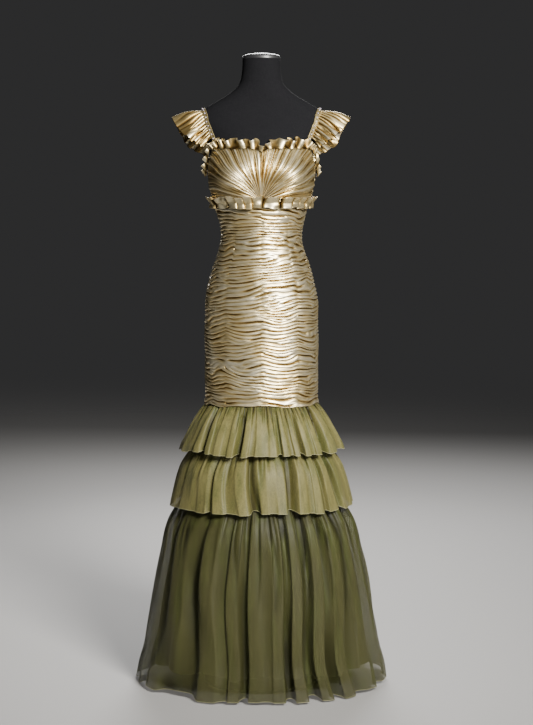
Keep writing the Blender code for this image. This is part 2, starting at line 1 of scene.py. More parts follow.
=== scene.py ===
# %% [markdown]
# # A mermaid gown on its dress form
#
# The gown is champagne satin above and sheer olive chiffon below, and stands on a black dress form. Its
# solids come from the CAD part. This lesson lays cloth over them that looks sewn: folds, gathers, frills,
# braid and beads, each worked out by a formula.
#
# All sizes are in metres. A place on the figure is a turn round the vertical axis, in degrees, 0 at the
# front and +90 at the +X side, and a height. The tables of the figure and of the skirt's layers follow
# the solids' own, because each cloth lies where its solid is. The long tier's top alone is a little
# wider than its solid, to stand clear of the tier above.

# %% Load the solids
from collections import namedtuple

import bmesh
import bpy
import numpy as np
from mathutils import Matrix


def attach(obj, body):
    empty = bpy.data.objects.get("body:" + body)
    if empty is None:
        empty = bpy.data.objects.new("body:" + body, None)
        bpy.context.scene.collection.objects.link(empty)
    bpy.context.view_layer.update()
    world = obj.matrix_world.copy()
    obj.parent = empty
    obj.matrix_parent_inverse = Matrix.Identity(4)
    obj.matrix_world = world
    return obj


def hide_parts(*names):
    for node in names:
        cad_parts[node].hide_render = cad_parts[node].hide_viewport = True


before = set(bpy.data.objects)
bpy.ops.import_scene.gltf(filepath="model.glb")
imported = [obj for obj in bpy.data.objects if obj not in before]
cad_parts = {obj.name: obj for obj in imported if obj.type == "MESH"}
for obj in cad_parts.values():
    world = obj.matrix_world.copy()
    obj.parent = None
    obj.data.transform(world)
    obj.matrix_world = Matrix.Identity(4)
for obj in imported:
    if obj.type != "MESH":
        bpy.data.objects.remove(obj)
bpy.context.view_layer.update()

# %% [markdown]
# ## The figure under the cloth
#
# A dress form is padded to the outline of a woman's body, and each piece of the bodice follows it. The
# form could be sculpted, or measured off a scan. Here it is a short table of half widths and depths at
# some heights, joined by smooth curves, because a formula can be asked for the point at any turn and
# height, and at any distance outside the skin. That is what every cloth above it needs.

# %% The figure's outline

Level = namedtuple("Level", "height half_width front back")
FIGURE = [
    Level(0.770, 0.1445, 0.1000, 0.1050),
    Level(0.880, 0.1455, 0.1030, 0.1120),
    Level(0.964, 0.1465, 0.1050, 0.1200),
    Level(1.008, 0.1455, 0.1040, 0.1230),
    Level(1.052, 0.1440, 0.1010, 0.1200),
    Level(1.095, 0.1365, 0.0975, 0.1120),
    Level(1.139, 0.1240, 0.0940, 0.1000),
    Level(1.182, 0.1090, 0.0895, 0.0880),
    Level(1.215, 0.1015, 0.0865, 0.0820),
    Level(1.247, 0.1025, 0.0870, 0.0820),
    Level(1.290, 0.1130, 0.0930, 0.0870),
    Level(1.333, 0.1290, 0.1010, 0.0930),
    Level(1.387, 0.1390, 0.1060, 0.0990),
    Level(1.420, 0.1410, 0.1040, 0.1010),
    Level(1.441, 0.1400, 0.0990, 0.1010),
    Level(1.462, 0.1410, 0.0910, 0.1000),
    Level(1.490, 0.1540, 0.0780, 0.0980),
    Level(1.515, 0.1670, 0.0650, 0.0950),
    Level(1.535, 0.1720, 0.0560, 0.0900),
    Level(1.553, 0.1650, 0.0480, 0.0840),
    Level(1.568, 0.1510, 0.0430, 0.0780),
    Level(1.583, 0.1270, 0.0400, 0.0730),
    Level(1.598, 0.1010, 0.0390, 0.0690),
    Level(1.614, 0.0780, 0.0380, 0.0660),
    Level(1.632, 0.0610, 0.0370, 0.0640),
    Level(1.655, 0.0540, 0.0370, 0.0620),
    Level(1.700, 0.0505, 0.0380, 0.0600),
]

print(f"{len(FIGURE)} levels from {FIGURE[0].height:.2f} to {FIGURE[-1].height:.2f} m")

# %% Smooth curves and steps

def smooth_curve(rows, name, at):
    """A column of a table as a smooth curve over its first column.

    Between two rows it is the cubic that has their values and, at both, the average slope there.
    """
    x = np.array([row[0] for row in rows], float)
    y = np.array([getattr(row, name) for row in rows], float)
    slope = np.gradient(y, x)
    at = np.clip(at, x[0], x[-1])
    i = np.clip(np.searchsorted(x, at) - 1, 0, len(x) - 2)
    step = x[i + 1] - x[i]
    t = (at - x[i]) / step
    start = (1 + 2 * t) * (1 - t) ** 2 * y[i] + t * (1 - t) ** 2 * step * slope[i]
    end = t * t * (3 - 2 * t) * y[i + 1] + t * t * (t - 1) * step * slope[i + 1]
    return start + end


def ease(x):
    """0 below 0, 1 above 1, and between them three times the square less twice the cube."""
    x = np.clip(x, 0.0, 1.0)
    return x * x * (3 - 2 * x)

waist = min(FIGURE, key=lambda level: level.half_width if 1.1 < level.height < 1.4 else 1.0)
print(f"narrowest at {waist.height:.3f} m, {2000 * waist.half_width:.0f} mm wide")

# %% A point on the skin
BUST_TURN, BUST_SPREAD = 31.0, 21.0
BUST_HEIGHT, BUST_TALL, BUST_OUT = 1.392, 0.042, 0.022


def oval_point(turn, half_width, front, back, height):
    """A point of a level's outline: the turn's sine times the half width, and its cosine times the depth.

    The front half and the back half have depths of their own, so the outline is two half ellipses.
    """
    turn = np.radians(turn)
    depth = np.where(np.cos(turn) > 0, front, back)
    return np.stack(
        np.broadcast_arrays(half_width * np.sin(turn), -depth * np.cos(turn), height), axis=-1
    )


def bust_swell(turn, height):
    """How far the bust stands out: a bell curve over height times one bell curve over turn a side."""
    tall = np.exp(-(((height - BUST_HEIGHT) / BUST_TALL) ** 2))
    left = np.exp(-(((turn + BUST_TURN) / BUST_SPREAD) ** 2))
    right = np.exp(-(((turn - BUST_TURN) / BUST_SPREAD) ** 2))
    return BUST_OUT * tall * (left + right)


def figure_point(turn, height, out, bust=1.0):
    """A point out metres outside the skin: the outline at its height, each half axis longer by out."""
    turn = np.asarray(turn, float)
    height = np.asarray(height, float)
    more = out + bust * bust_swell(turn, height)
    return oval_point(
        turn,
        smooth_curve(FIGURE, "half_width", height) + more,
        smooth_curve(FIGURE, "front", height) + more,
        smooth_curve(FIGURE, "back", height) + more,
        height,
    )


HIP = FIGURE[2]
for name, height in (("bust", BUST_HEIGHT), ("waist", waist.height), ("hip", HIP.height)):
    ring = figure_point(np.linspace(-180.0, 180.0, 361), height, 0.0)
    print(f"{name}: {1000 * np.linalg.norm(np.diff(ring, axis=0), axis=-1).sum():.0f} mm round")

# %% [markdown]
# ## From arrays to meshes
#
# A piece of cloth has two faces and an edge, so it is a closed wall: one grid of points outside, one
# inside, and a strip round the rim. numpy works out whole grids at once, which is fast and keeps the
# formula in plain sight. A modifier could give a single sheet its thickness, but then the inside could
# not be plainer than the outside, and the ruched panels need that to stay light.

# %% A finished piece
SHARP = np.radians(65.0)


def finish_piece(name, points, faces, material, marks=()):
    """Points and faces become a smooth mesh whose faces point out, and a piece that rides on the part.

    marks are pairs of a name and one value a point, which the material reads as an attribute.
    """
    mesh = bpy.data.meshes.new(name)
    mesh.from_pydata(points.tolist(), [], faces)
    for mark, values in marks:
        layer = mesh.attributes.new(mark, "FLOAT", "POINT")
        layer.data.foreach_set("value", values.astype(np.float32))
    bm = bmesh.new()
    bm.from_mesh(mesh)
    bmesh.ops.recalc_face_normals(bm, faces=bm.faces)
    bm.to_mesh(mesh)
    bm.free()
    mesh.shade_smooth()
    mesh.set_sharp_from_angle(angle=SHARP)
    mesh.materials.append(material)
    piece = bpy.data.objects.new(name, mesh)
    bpy.context.scene.collection.objects.link(piece)
    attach(piece, "root")
    wide, deep, tall = 1000 * np.ptp(points, axis=0)
    print(f"{name}: {len(faces)} faces, {wide:.0f} x {deep:.0f} x {tall:.0f} mm")
    return piece


# %% Faces of a grid
def grid_indices(start, rows, columns, closed):
    """Vertex numbers of a grid, row by row, with the first column again at the end when it is closed."""
    index = start + np.arange(rows * columns).reshape(rows, columns)
    return np.concatenate([index, index[:, :1]], axis=1) if closed else index


def grid_quads(index):
    """One face for each cell of a grid: its corner, the one below, the one across from that, and the next."""
    corners = [index[..., :-1, :-1], index[..., 1:, :-1], index[..., 1:, 1:], index[..., :-1, 1:]]
    return np.stack(corners, axis=-1).reshape(-1, 4)


def strip_between(first, second):
    """Triangles between two runs of vertices, which may differ in number.

    Each edge of either run makes a triangle with the vertex that the other run has reached. The edges
    are taken in the order of their middles, as a share of their own run.
    """
    first_edges, second_edges = len(first) - 1, len(second) - 1
    first_middles = (np.arange(first_edges) + 0.5) / first_edges
    second_middles = (np.arange(second_edges) + 0.5) / second_edges
    order = np.argsort(np.concatenate([first_middles, second_middles]), kind="stable")
    on_second = order >= first_edges
    i = np.cumsum(~on_second) - ~on_second
    j = np.cumsum(on_second) - on_second
    next_first = first[np.minimum(i + 1, first_edges)]
    next_second = second[np.minimum(j + 1, second_edges)]
    return np.stack([first[i], np.where(on_second, next_second, next_first), second[j]], axis=-1)


square = grid_quads(grid_indices(0, 3, 3, False))
print(f"a grid of 3 by 3 points has {len(square)} faces, the first of them {square[0].tolist()}")


# %% Walls of cloth
def wall(name, outer, inner, material, slot, closed=False, **marks):
    """A closed piece of cloth: an outer and an inner grid of points, top row first, joined round the rim.

    marks are named values a point for the material, one grid the size of outer each.
    """
    out_index = grid_indices(0, *outer.shape[:2], closed)
    in_index = grid_indices(outer.shape[0] * outer.shape[1], *inner.shape[:2], closed)
    strips = [strip_between(out_index[row], in_index[row]) for row in (0, -1)]
    if not closed:
        strips += [strip_between(out_index[:, side], in_index[:, side]) for side in (0, -1)]
    quads = np.concatenate([grid_quads(out_index), grid_quads(in_index)[:, ::-1]])
    points = np.concatenate([outer.reshape(-1, 3), inner.reshape(-1, 3)])
    layers = []
    for mark, values in marks.items():
        values = np.broadcast_to(values, outer.shape[:2])
        inside = values if inner.shape == outer.shape else np.full(inner.shape[:2], 0.5)
        layers.append((mark, np.concatenate([values.ravel(), inside.ravel()])))
    faces = quads.tolist() + np.concatenate(strips).tolist()
    return finish_piece(name, points, faces, material, layers)


def grid_normals(points, closed=False):
    """Unit normals of a grid of points: the cross product of the way down and the way across."""
    if closed:
        padded = np.concatenate([points[:, -1:], points, points[:, :1]], axis=1)
        across = np.gradient(padded, axis=1)[:, 1:-1]
    else:
        across = np.gradient(points, axis=1)
    down = np.gradient(points, axis=0)
    normal = np.cross(down, across)
    return normal / np.maximum(np.linalg.norm(normal, axis=-1, keepdims=True), 1e-12)


def thin_cloth(name, middle, thickness, material, slot, closed=False, **marks):
    """A sheet of even thickness: the grid moved out by half of it along the normals, and in by half."""
    normal = grid_normals(middle, closed) * thickness / 2
    return wall(name, middle + normal, middle - normal, material, slot, closed, **marks)


flat = np.stack(np.meshgrid([0.0, 1.0, 2.0], [0.0, -1.0, -2.0]), axis=-1)
flat = np.concatenate([flat, np.zeros((3, 3, 1))], axis=-1)
print(f"a flat grid's normal is {grid_normals(flat)[1, 1].round(3).tolist()}")

# %% [markdown]
# ## How a finish is built
#
# Each finish is one Principled shader. What is the same all over is set on the shader itself, and what
# changes over the surface comes from a few nodes. Image textures would need unwrapped pieces. Noise on
# object coordinates needs none, runs on across the seams, and can be stretched along the threads.
#
# Three effects are used by more than one finish, so each is a node group, built once: a fine relief of
# threads, streaks between two values, and a mottling of two colours.

# %% Materials and nodes

def new_material(name, roughness, **sockets):
    """A Principled material; sockets are named inputs that are the same all over, set on the shader."""
    material = bpy.data.materials.new(name)
    material.use_nodes = True
    shader = material.node_tree.nodes["Principled BSDF"]
    shader.inputs["Roughness"].default_value = roughness
    for socket, value in sockets.items():
        shader.inputs[socket.replace("_", " ")].default_value = value
    return material, material.node_tree, shader


def add_node(tree, kind, inputs=(), **settings):
    """A new node with its settings, and its inputs given as values or as sockets to link."""
    node = tree.nodes.new(kind)
    for key, value in settings.items():
        setattr(node, key, value)
    for key, value in dict(inputs).items():
        if isinstance(value, bpy.types.NodeSocket):
            tree.links.new(value, node.inputs[key])
        else:
            node.inputs[key].default_value = value
    return node

def mark_value(tree, name):
    """The value that a piece carries for each of its points under a name."""
    return add_node(tree, "ShaderNodeAttribute", attribute_name=name).outputs["Fac"]


def ramp(tree, factor, *stops):
    """Colours along a factor, joined by straight lines: each stop is a place and a colour."""
    node = add_node(tree, "ShaderNodeValToRGB", {"Fac": factor})
    while len(node.color_ramp.elements) < len(stops):
        node.color_ramp.elements.new(0.5)
    for element, (place, colour) in zip(node.color_ramp.elements, stops):
        element.position = place
        element.color = (*colour, 1.0)
    return node.outputs["Color"]


def spread(tree, value, low, high, to_low=0.0, to_high=1.0):
    """A value carried from one range to another by a straight line, and held at its ends."""
    ends = {"From Min": low, "From Max": high, "To Min": to_low, "To Max": to_high}
    return add_node(tree, "ShaderNodeMapRange", {"Value": value, **ends}).outputs["Result"]


def mix_colour(tree, factor, first, second, blend="MIX"):
    """Two colours blended by a factor: the share of the second is the factor."""
    node = add_node(tree, "ShaderNodeMix", data_type="RGBA", blend_type=blend)
    for key, value in ((0, factor), (6, first), (7, second)):
        if isinstance(value, bpy.types.NodeSocket):
            tree.links.new(value, node.inputs[key])
        else:
            node.inputs[key].default_value = (*value, 1.0) if isinstance(value, tuple) else value
    return node.outputs[2]


# %% Three node groups
def new_group(name, output, kind, **inputs):
    """An empty node group with one output; each input is a number, three numbers or a colour of four."""
    group = bpy.data.node_groups.new(name, "ShaderNodeTree")
    kinds = {1: "NodeSocketFloat", 3: "NodeSocketVector", 4: "NodeSocketColor"}
    for socket, value in inputs.items():
        socket_type = kinds[np.size(value)]
        group.interface.new_socket(socket, in_out="INPUT", socket_type=socket_type).default_value = value
    group.interface.new_socket(output, in_out="OUTPUT", socket_type=kind)
    return group, group.nodes.new("NodeGroupInput").outputs, group.nodes.new("NodeGroupOutput").inputs[0]


def stretched_noise(tree, given):
    """Noise on object coordinates that are first multiplied by Stretch: small numbers draw it out."""
    coords = add_node(tree, "ShaderNodeTexCoord").outputs["Object"]
    mapped = add_node(tree, "ShaderNodeMapping", {"Vector": coords, "Scale": given["Stretch"]}).outputs[0]
    sockets = {"Vector": mapped, "Scale": given["Scale"], "Detail": given["Detail"]}
    return add_node(tree, "ShaderNodeTexNoise", sockets).outputs["Fac"]


def make_thread_grain():
    """How far the threads stand out of the cloth at a point, 0 to 1: stretched noise as it is."""
    group, given, result = new_group(
        "thread_grain", "Height", "NodeSocketFloat", Scale=400.0, Stretch=(1.0, 1.0, 1.0), Detail=3.0
    )
    group.links.new(stretched_noise(group, given), result)
    return group


def make_thread_streaks():
    """Stretched noise whose range from Low to High is carried to the range from Least to Most."""
    group, given, result = new_group(
        "thread_streaks", "Value", "NodeSocketFloat", Scale=100.0, Stretch=(1.0, 1.0, 1.0), Detail=3.0,
        Low=0.3, High=0.7, Least=0.0, Most=1.0,
    )
    value = stretched_noise(group, given)
    streak = spread(group, value, given["Low"], given["High"], given["Least"], given["Most"])
    group.links.new(streak, result)
    return group


def make_two_tones():
    """A mottled colour: stretched noise, spread out to 0 to 1, is the share of Light over Dark."""
    group, given, result = new_group(
        "two_tones", "Color", "NodeSocketColor", Scale=100.0, Stretch=(1.0, 1.0, 1.0), Detail=3.0,
        Dark=(0.0, 0.0, 0.0, 1.0), Light=(1.0, 1.0, 1.0, 1.0),
    )
    share = spread(group, stretched_noise(group, given), 0.3, 0.7)
    group.links.new(mix_colour(group, share, given["Dark"], given["Light"]), result)
    return group


thread_grain = make_thread_grain()
thread_streaks = make_thread_streaks()
two_tones = make_two_tones()
print("node groups:", ", ".join(group.name for group in bpy.data.node_groups))


# %% Groups placed in a material
def streaks(tree, scale, stretch=(1, 1, 1), detail=3.0, low=0.3, high=0.7, least=0.0, most=1.0):
    """The group of streaks in a material, with the values given."""
    values = {"Scale": scale, "Stretch": stretch, "Detail": detail, "Low": low, "High": high}
    values.update({"Least": least, "Most": most})
    return add_node(tree, "ShaderNodeGroup", values, node_tree=thread_streaks).outputs[0]


def mottle(tree, shader, scale, dark, light):
    """The group of two tones, as the shader's base colour."""
    values = {"Scale": scale, "Dark": (*dark, 1.0), "Light": (*light, 1.0)}
    node = add_node(tree, "ShaderNodeGroup", values, node_tree=two_tones)
    tree.links.new(node.outputs[0], shader.inputs["Base Color"])


def add_grain(tree, shader, scale, stretch, detail, strength, distance):
    """The group of thread grain as the height of a bump, which stays in the material."""
    values = {"Scale": scale, "Stretch": stretch, "Detail": detail}
    height = add_node(tree, "ShaderNodeGroup", values, node_tree=thread_grain).outputs[0]
    bump = add_node(tree, "ShaderNodeBump", {"Height": height, "Strength": strength, "Distance": distance})
    tree.links.new(bump.outputs["Normal"], shader.inputs["Normal"])


def grey(tree, value):
    """A value as a colour with its three parts alike."""
    return add_node(tree, "ShaderNodeCombineColor", {0: value, 1: value, 2: value}).outputs[0]


# %% [markdown]
# ## The dress form and its stand
#
# A display form is a hollow torso under stretched black jersey, with a wooden or metal cap on its neck
# and a pole on a round base. Jersey drinks up light, so it is nearly black, rough and hardly glossy,
# with its knit as a fine relief. The cap, pole and base are powder coated: smoother, a trace paler, with
# the soft waviness that such paint dries with.
#
# The torso could keep its CAD mesh, but a loft through rings of the figure's own formula is rounder. The
# pole and the base are right as they are, so they keep their meshes and only get a better material.

# %% Jersey and black steel
def make_jersey():
    """The form's black knitted cover."""
    material, tree, shader = new_material("black_jersey", 0.90, Specular_IOR_Level=0.10)
    mottle(tree, shader, 400.0, (0.004, 0.004, 0.005), (0.009, 0.009, 0.010))
    add_grain(tree, shader, 900.0, (1, 1, 0.6), 3.0, 0.35, 0.0005)
    return material


def make_black_steel():
    """Satin black powder coat, with its fine orange peel."""
    material, tree, shader = new_material("black_powder_coat", 0.42, Coat_Weight=0.1)
    mottle(tree, shader, 30.0, (0.012, 0.012, 0.013), (0.022, 0.022, 0.023))
    add_grain(tree, shader, 700.0, (1, 1, 1), 3.0, 0.15, 0.0004)
    return material


jersey = make_jersey()
steel = make_black_steel()
print("finishes:", jersey.name, steel.name)

# %% Torso and neck cap
FORM_BOTTOM, FORM_TOP = 0.820, 1.700
FORM_BUST = 0.85
FORM_COLUMNS = 96
CAP_TALL, CAP_ROUND = 0.016, 0.65
form_turns = (np.arange(FORM_COLUMNS) * 360.0 / FORM_COLUMNS - 180.0)[None, :]


def closed_loft(name, points, material):
    """A loft through closed rings, top first: faces between neighbours, and a flat one at each end."""
    index = grid_indices(0, *points.shape[:2], True)
    faces = grid_quads(index).tolist() + index[(0, -1), :-1].tolist()
    return finish_piece(name, points.reshape(-1, 3), faces, material)


heights = np.concatenate([np.linspace(FORM_TOP, 1.46, 50), np.linspace(1.455, FORM_BOTTOM, 40)])[:, None]
form = closed_loft("form_cover", figure_point(form_turns, heights, 0.0, FORM_BUST), jersey)
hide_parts("form_torso")

neck = FIGURE[-1]
arch = np.linspace(0.0, np.pi / 2, 14)[:, None]
share = np.concatenate([np.sin(arch) * 0.97 + 0.03, [[1.0]]])
lift = np.concatenate([1.0 - CAP_ROUND + CAP_ROUND * np.cos(arch), [[0.02]]]) * CAP_TALL
cap_points = oval_point(
    form_turns, neck.half_width * share, neck.front * share, neck.back * share, FORM_TOP + lift
)
cap_points[..., 1] += (neck.back - neck.front) / 2 * (1 - share)
cap = closed_loft("form_cap", cap_points, steel)
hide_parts("form_neck_cap")

# %% Stand
for node in ("stand_base", "stand_pole"):
    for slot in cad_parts[node].material_slots:
        slot.material = steel
    print(node, "keeps its mesh, in", steel.name)

# %% [markdown]
# ## Champagne satin
#
# Satin is woven so that long threads lie over the surface, and they shine like brushed metal. On the
# gown the crests of the folds look cream and the creases old gold. A plain glossy shader would give
# white streaks on one flat colour. Here the shader is mostly metallic, so that its shine takes the
# cloth's colour and the sides of the body fall into shade. A ramp turns each point's place in its
# fold, which the mesh carries as an attribute, into a colour: painted shade, near black, in the creases
# and a painted cream highlight on the crests. Slubs, which are thicker threads, run round the body.

# %% Satin
def make_satin():
    """Champagne gold satin: a ramp of painted shade and highlight over the fold, then patches and slubs
    multiplied in.
    """
    material, tree, shader = new_material("champagne_satin", 0.38, Metallic=0.90, Sheen_Weight=0.0, IOR=1.5)
    shader.inputs["Sheen Tint"].default_value = (1.0, 0.92, 0.72, 1.0)
    # Painted shade and highlight: the ramp runs from near black in the creases to cream on the crests.
    colour = ramp(
        tree,
        mark_value(tree, "ridge"),
        (0.00, (0.050, 0.027, 0.006)),
        (0.30, (0.215, 0.138, 0.040)),
        (0.62, (0.520, 0.415, 0.205)),
        (0.86, (0.735, 0.645, 0.415)),
        (1.00, (0.860, 0.785, 0.600)),
    )
    patch = streaks(tree, 14.0, detail=2.0, low=0.35, high=0.65)
    warmer = mix_colour(tree, 1.0, colour, (0.95, 0.88, 0.72), "MULTIPLY")
    tinted = mix_colour(tree, patch, colour, warmer)
    slub = streaks(tree, 160.0, (1, 1, 7), 4.0, least=0.90, most=1.0)
    tree.links.new(mix_colour(tree, 1.0, tinted, grey(tree, slub), "MULTIPLY"), shader.inputs["Base Color"])
    tree.links.new(streaks(tree, 55.0, (1, 1, 3), least=0.35, most=0.44), shader.inputs["Roughness"])
    add_grain(tree, shader, 420.0, (1, 1, 5), 3.0, 0.05, 0.0006)
    return material


satin = make_satin()
print("finish:", satin.name)

# %% [markdown]
# ## The ruched body
#
# Ruching is cloth cut a third too long and gathered into its two side seams, so it lies in shallow
# folds that run across. No fold is like the next: they fade, fork in two, sag, and jog where they meet
# a seam. A cloth simulation would fold too, but its folds would not stay where the seams want them.
#
# So the folds are one repeating wave down the body whose phase is pushed about: by a slow random drift,
# by seams, and by forks, where going round a point adds or takes a whole fold. The six panels read the
# same field, and each is pinched in at its own seams.

# %% Random fields

def drift(seed, x, y, size_x, size_y, waves=10):
    """A smooth random field of about -1 to 1, with bumps of size_x by size_y.

    It is a sum of cosines, each running its own way from its own start, over the root of their number.
    """
    random = np.random.default_rng(seed)
    total = 0.0
    for _ in range(waves):
        way, start = random.uniform(0.0, 2 * np.pi, 2)
        total = total + np.cos(np.pi * (x / size_x * np.cos(way) + y / size_y * np.sin(way)) + start)
    return np.clip(total / np.sqrt(waves), -1.6, 1.6)


def round_drift(seed, turn, y, size_turn, size_y, waves=10):
    """The same on a closed ring: each cosine makes whole waves in 360 degrees, so it meets itself."""
    random = np.random.default_rng(seed)
    total = 0.0
    for _ in range(waves):
        way, start = random.uniform(0.0, 2 * np.pi, 2)
        cycles = np.round(180.0 / size_turn * np.cos(way))
        total = total + np.cos(np.radians(turn) * cycles + np.pi * y / size_y * np.sin(way) + start)
    return np.clip(total / np.sqrt(waves), -1.6, 1.6)

sample = drift(1, np.linspace(0.0, 1.0, 200), 0.0, 0.1, 0.1)
print(f"a drift runs from {sample.min():.2f} to {sample.max():.2f}")

# %% Measures of the ruching
UNDERBUST, KNEE_SEAM = 1.3185, 0.7740
CLOTH_IN, CLOTH_OUT = 0.0024, 0.0044

Panel = namedtuple("Panel", "name node start end columns seed")
PANELS = [
    Panel("ruching_back_left", "body_back_left", -180.0, -90.0, 52, 16),
    Panel("ruching_side_front_left", "body_side_front_left", -90.0, -40.0, 38, 21),
    Panel("ruching_centre_front_left", "body_centre_front_left", -40.0, 0.0, 32, 32),
    Panel("ruching_centre_front_right", "body_centre_front_right", 0.0, 40.0, 32, 43),
    Panel("ruching_side_front_right", "body_side_front_right", 40.0, 90.0, 38, 54),
    Panel("ruching_back_right", "body_back_right", 90.0, 180.0, 52, 65),
]
RUCHE_ROWS = 430
RUCHE_PITCH, FINE_PITCH = 0.0102, 0.0058
RUCHE_DEEP = 0.0056
RUCHE_INNER = (41, 11)
RUCHE_FORKS = 150
BODY_RADIUS = 0.135
BODY_TALL = UNDERBUST - KNEE_SEAM
ROLL_DROP, ROLL_OUT, ROLL_TALL = 0.0045, 0.0048, 0.0085
PINCH_WIDE = 0.007
HIP_TURN, HIP_HEIGHT = 64.0, 1.115
SEAMS = ((-90.0, 61), (-40.0, 62), (0.0, 63), (40.0, 64), (90.0, 65))

print(f"{BODY_TALL / RUCHE_PITCH:.0f} folds down a body of {1000 * BODY_TALL:.0f} mm")


# %% The shape of a fold
def crease_profile(phase, droop=0.0):
    """A rounded fold between sharp creases: 0 in the crease, 1 on the crest, which may droop.

    It is the sine of half the phase without its sign, once as a low power for the sharp crease and once
    as a high power for the round crest, added in shares of .28 and .72.
    """
    lean = phase + 0.07 * np.sin(2 * np.pi * phase) - droop * np.sin(np.pi * phase) ** 2
    swing = np.abs(np.sin(np.pi * lean))
    return 0.28 * swing**0.65 + 0.72 * swing**1.6


def fork_shift(x, y):
    """How forks shift the folds, and how clear each point is of them.

    Round a fork the phase grows by the angle as a share of a full turn, so one side has a fold more.
    """
    random = np.random.default_rng(5)
    shift = np.zeros_like(x)
    clear = np.ones_like(x)
    for _ in range(RUCHE_FORKS):
        fork_x = random.uniform(-np.pi, np.pi) * BODY_RADIUS
        fork_y = random.uniform(0.0, BODY_TALL)
        way = random.choice([-1.0, 1.0])
        shift += way * np.arctan2(y - fork_y, x - fork_x) / (2 * np.pi)
        clear *= 0.10 + 0.90 * ease(np.hypot((x - fork_x) / 1.8, y - fork_y) / 0.010)
    return shift, clear


print("height of a fold at a quarter and a half:", crease_profile(np.array([0.25, 0.5])).round(2).tolist())


# %% All folds of the body

def ruching(turn, y):
    """The folds of the whole body at a turn and a distance down from the bust: their relief, about 0 to 1.

    The phase is the distance over the pitch, plus the wander, the forks and a jog at each seam. The relief
    is 1 less the crease times a random depth, less a finer set of creases at a little over half the pitch.
    """
    x = np.radians(turn) * BODY_RADIUS
    away = np.abs(turn)
    low = ease((y - 0.20) / 0.22)
    unrest = 0.38 + 1.05 * np.exp(-(((away - 68.0) / 22.0) ** 2)) + 0.6 * ease((away - 95.0) / 15.0)
    unrest = unrest + 0.5 * low * ease((away - 8.0) / 20.0)
    wander = unrest * (0.0024 * drift(51, x, y, 0.055, 0.030) + 0.0006 * drift(52, x, y, 0.022, 0.016))
    hip = np.exp(-(((turn - HIP_TURN) / 13.0) ** 2) - ((UNDERBUST - y - HIP_HEIGHT) / 0.040) ** 2)
    wander = wander + 0.0060 * hip * np.sin((turn - HIP_TURN) / 8.0 + y / 0.014)
    shift, clear = fork_shift(x, y)
    phase = (y + wander) / RUCHE_PITCH + shift
    for seam, seed in SEAMS:
        phase = phase + 0.16 * drift(seed, y, 0 * y, 0.050, 1.0) * np.tanh((turn - seam) / 1.5)
    phase = phase + 0.10 * np.clip(drift(66, y, 0 * y, 0.008, 1.0), -1, 1) * np.exp(-((turn / 3.0) ** 2))
    main = crease_profile(phase, 0.10)
    fine = crease_profile((y + 1.6 * wander) / FINE_PITCH + 0.7 * drift(53, x, y, 0.030, 0.020))
    depth = 0.70 + 0.34 * drift(54, x, y, 0.060, 0.0090) + 0.20 * drift(55, x, y, 0.028, 0.007)
    fine_depth = 0.16 + 0.06 * unrest + 0.16 * drift(56, x, y, 0.035, 0.020)
    relief = 1.0 - (1.0 - main) * np.clip(depth, 0.18, 1.10) * clear
    return relief - (1.0 - fine) * np.clip(fine_depth, 0.0, 0.5) * 0.6

# %% Ruched panels

def make_ruching(panel):
    """One panel: the skin moved out by the relief, less a bell curve at each seam, plus a roll at the hem."""
    wide = np.radians(panel.end - panel.start) * BODY_RADIUS
    share = np.linspace(0.0, 1.0, panel.columns + 1)[None, :]
    turn = panel.start + share * (panel.end - panel.start)
    down = np.linspace(0.0, 1.0, RUCHE_ROWS + 1)[:, None]
    drop = ROLL_DROP * (1.0 + 0.55 * round_drift(57, turn, 0 * turn, 16.0, 1.0))
    y = down * BODY_TALL
    low = ease((down - 0.35) / 0.4)
    sag = (0.001 + 0.0085 * low) * np.sin(np.pi * share) ** 1.2 * np.sin(np.pi * down) ** 0.4
    relief = ruching(turn + 0 * y, y - sag + 0 * turn)
    at_seam = np.minimum(share, 1.0 - share) * wide
    pinch = 0.10 + 0.22 * ease((np.abs(turn) - 60.0) / 20.0) + 0.06 * drift(59, y, 0 * y, 0.06, 1.0)
    puff = 1.0 - pinch * np.exp(-((at_seam / PINCH_WIDE) ** 2))
    size = RUCHE_DEEP * (0.80 + 0.25 * ease((np.abs(turn) - 30.0) / 30.0))
    start = ease(down / 0.01)
    out = CLOTH_OUT + size * relief * puff * start
    out = out + 0.0007 * drift(58, np.radians(turn) * BODY_RADIUS, y, 0.05, 0.05) * start
    roll = np.exp(-(((1.0 - down) * BODY_TALL / ROLL_TALL) ** 2))
    under = ease((down - 0.996) / 0.004)
    out = np.maximum(out, CLOTH_IN + 0.0009) + ROLL_OUT * roll * (1.0 - 0.75 * under)
    height = UNDERBUST - y - drop * ease((down - 0.93) / 0.07)
    outer = figure_point(turn, height, out)
    inner_rows, inner_columns = RUCHE_INNER
    inner_turn = panel.start + np.linspace(0.0, 1.0, inner_columns)[None, :] * (panel.end - panel.start)
    inner_height = UNDERBUST - np.linspace(0.0, 1.0, inner_rows)[:, None] * BODY_TALL
    inner = figure_point(inner_turn, inner_height, CLOTH_IN)
    # Painted shade: darker in the creases and where the seams pinch the cloth in, lighter on the crests.
    mark = np.clip(0.93 + 0.96 * (relief - 0.95) - 0.5 * (1.0 - puff), 0.0, 1.0)
    piece = wall(panel.name, outer, inner, satin, "satin", ridge=mark)
    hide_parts(panel.node)


for panel in PANELS:
    make_ruching(panel)

# %% [markdown]
# ## The bust
#
# In front the bust is covered by one piece of satin whose pleats all start at a point in the middle of
# the underbust seam and open like a fan. As they spread, each splits in two, and in two again, so that
# the cloth stays about as closely pleated at its edge. The grid follows the pleats: a column is a line
# from the point to the edge, slightly bowed, so the creases are sharp with few points. A square grid
# would cut across the pleats and need many more. The backs are plain, stretched over the form, with a
# few strain lines.

# %% The neckline
NECKLINE, UNDERARM, BACK_NECK = 1.4620, 1.3880, 1.4400


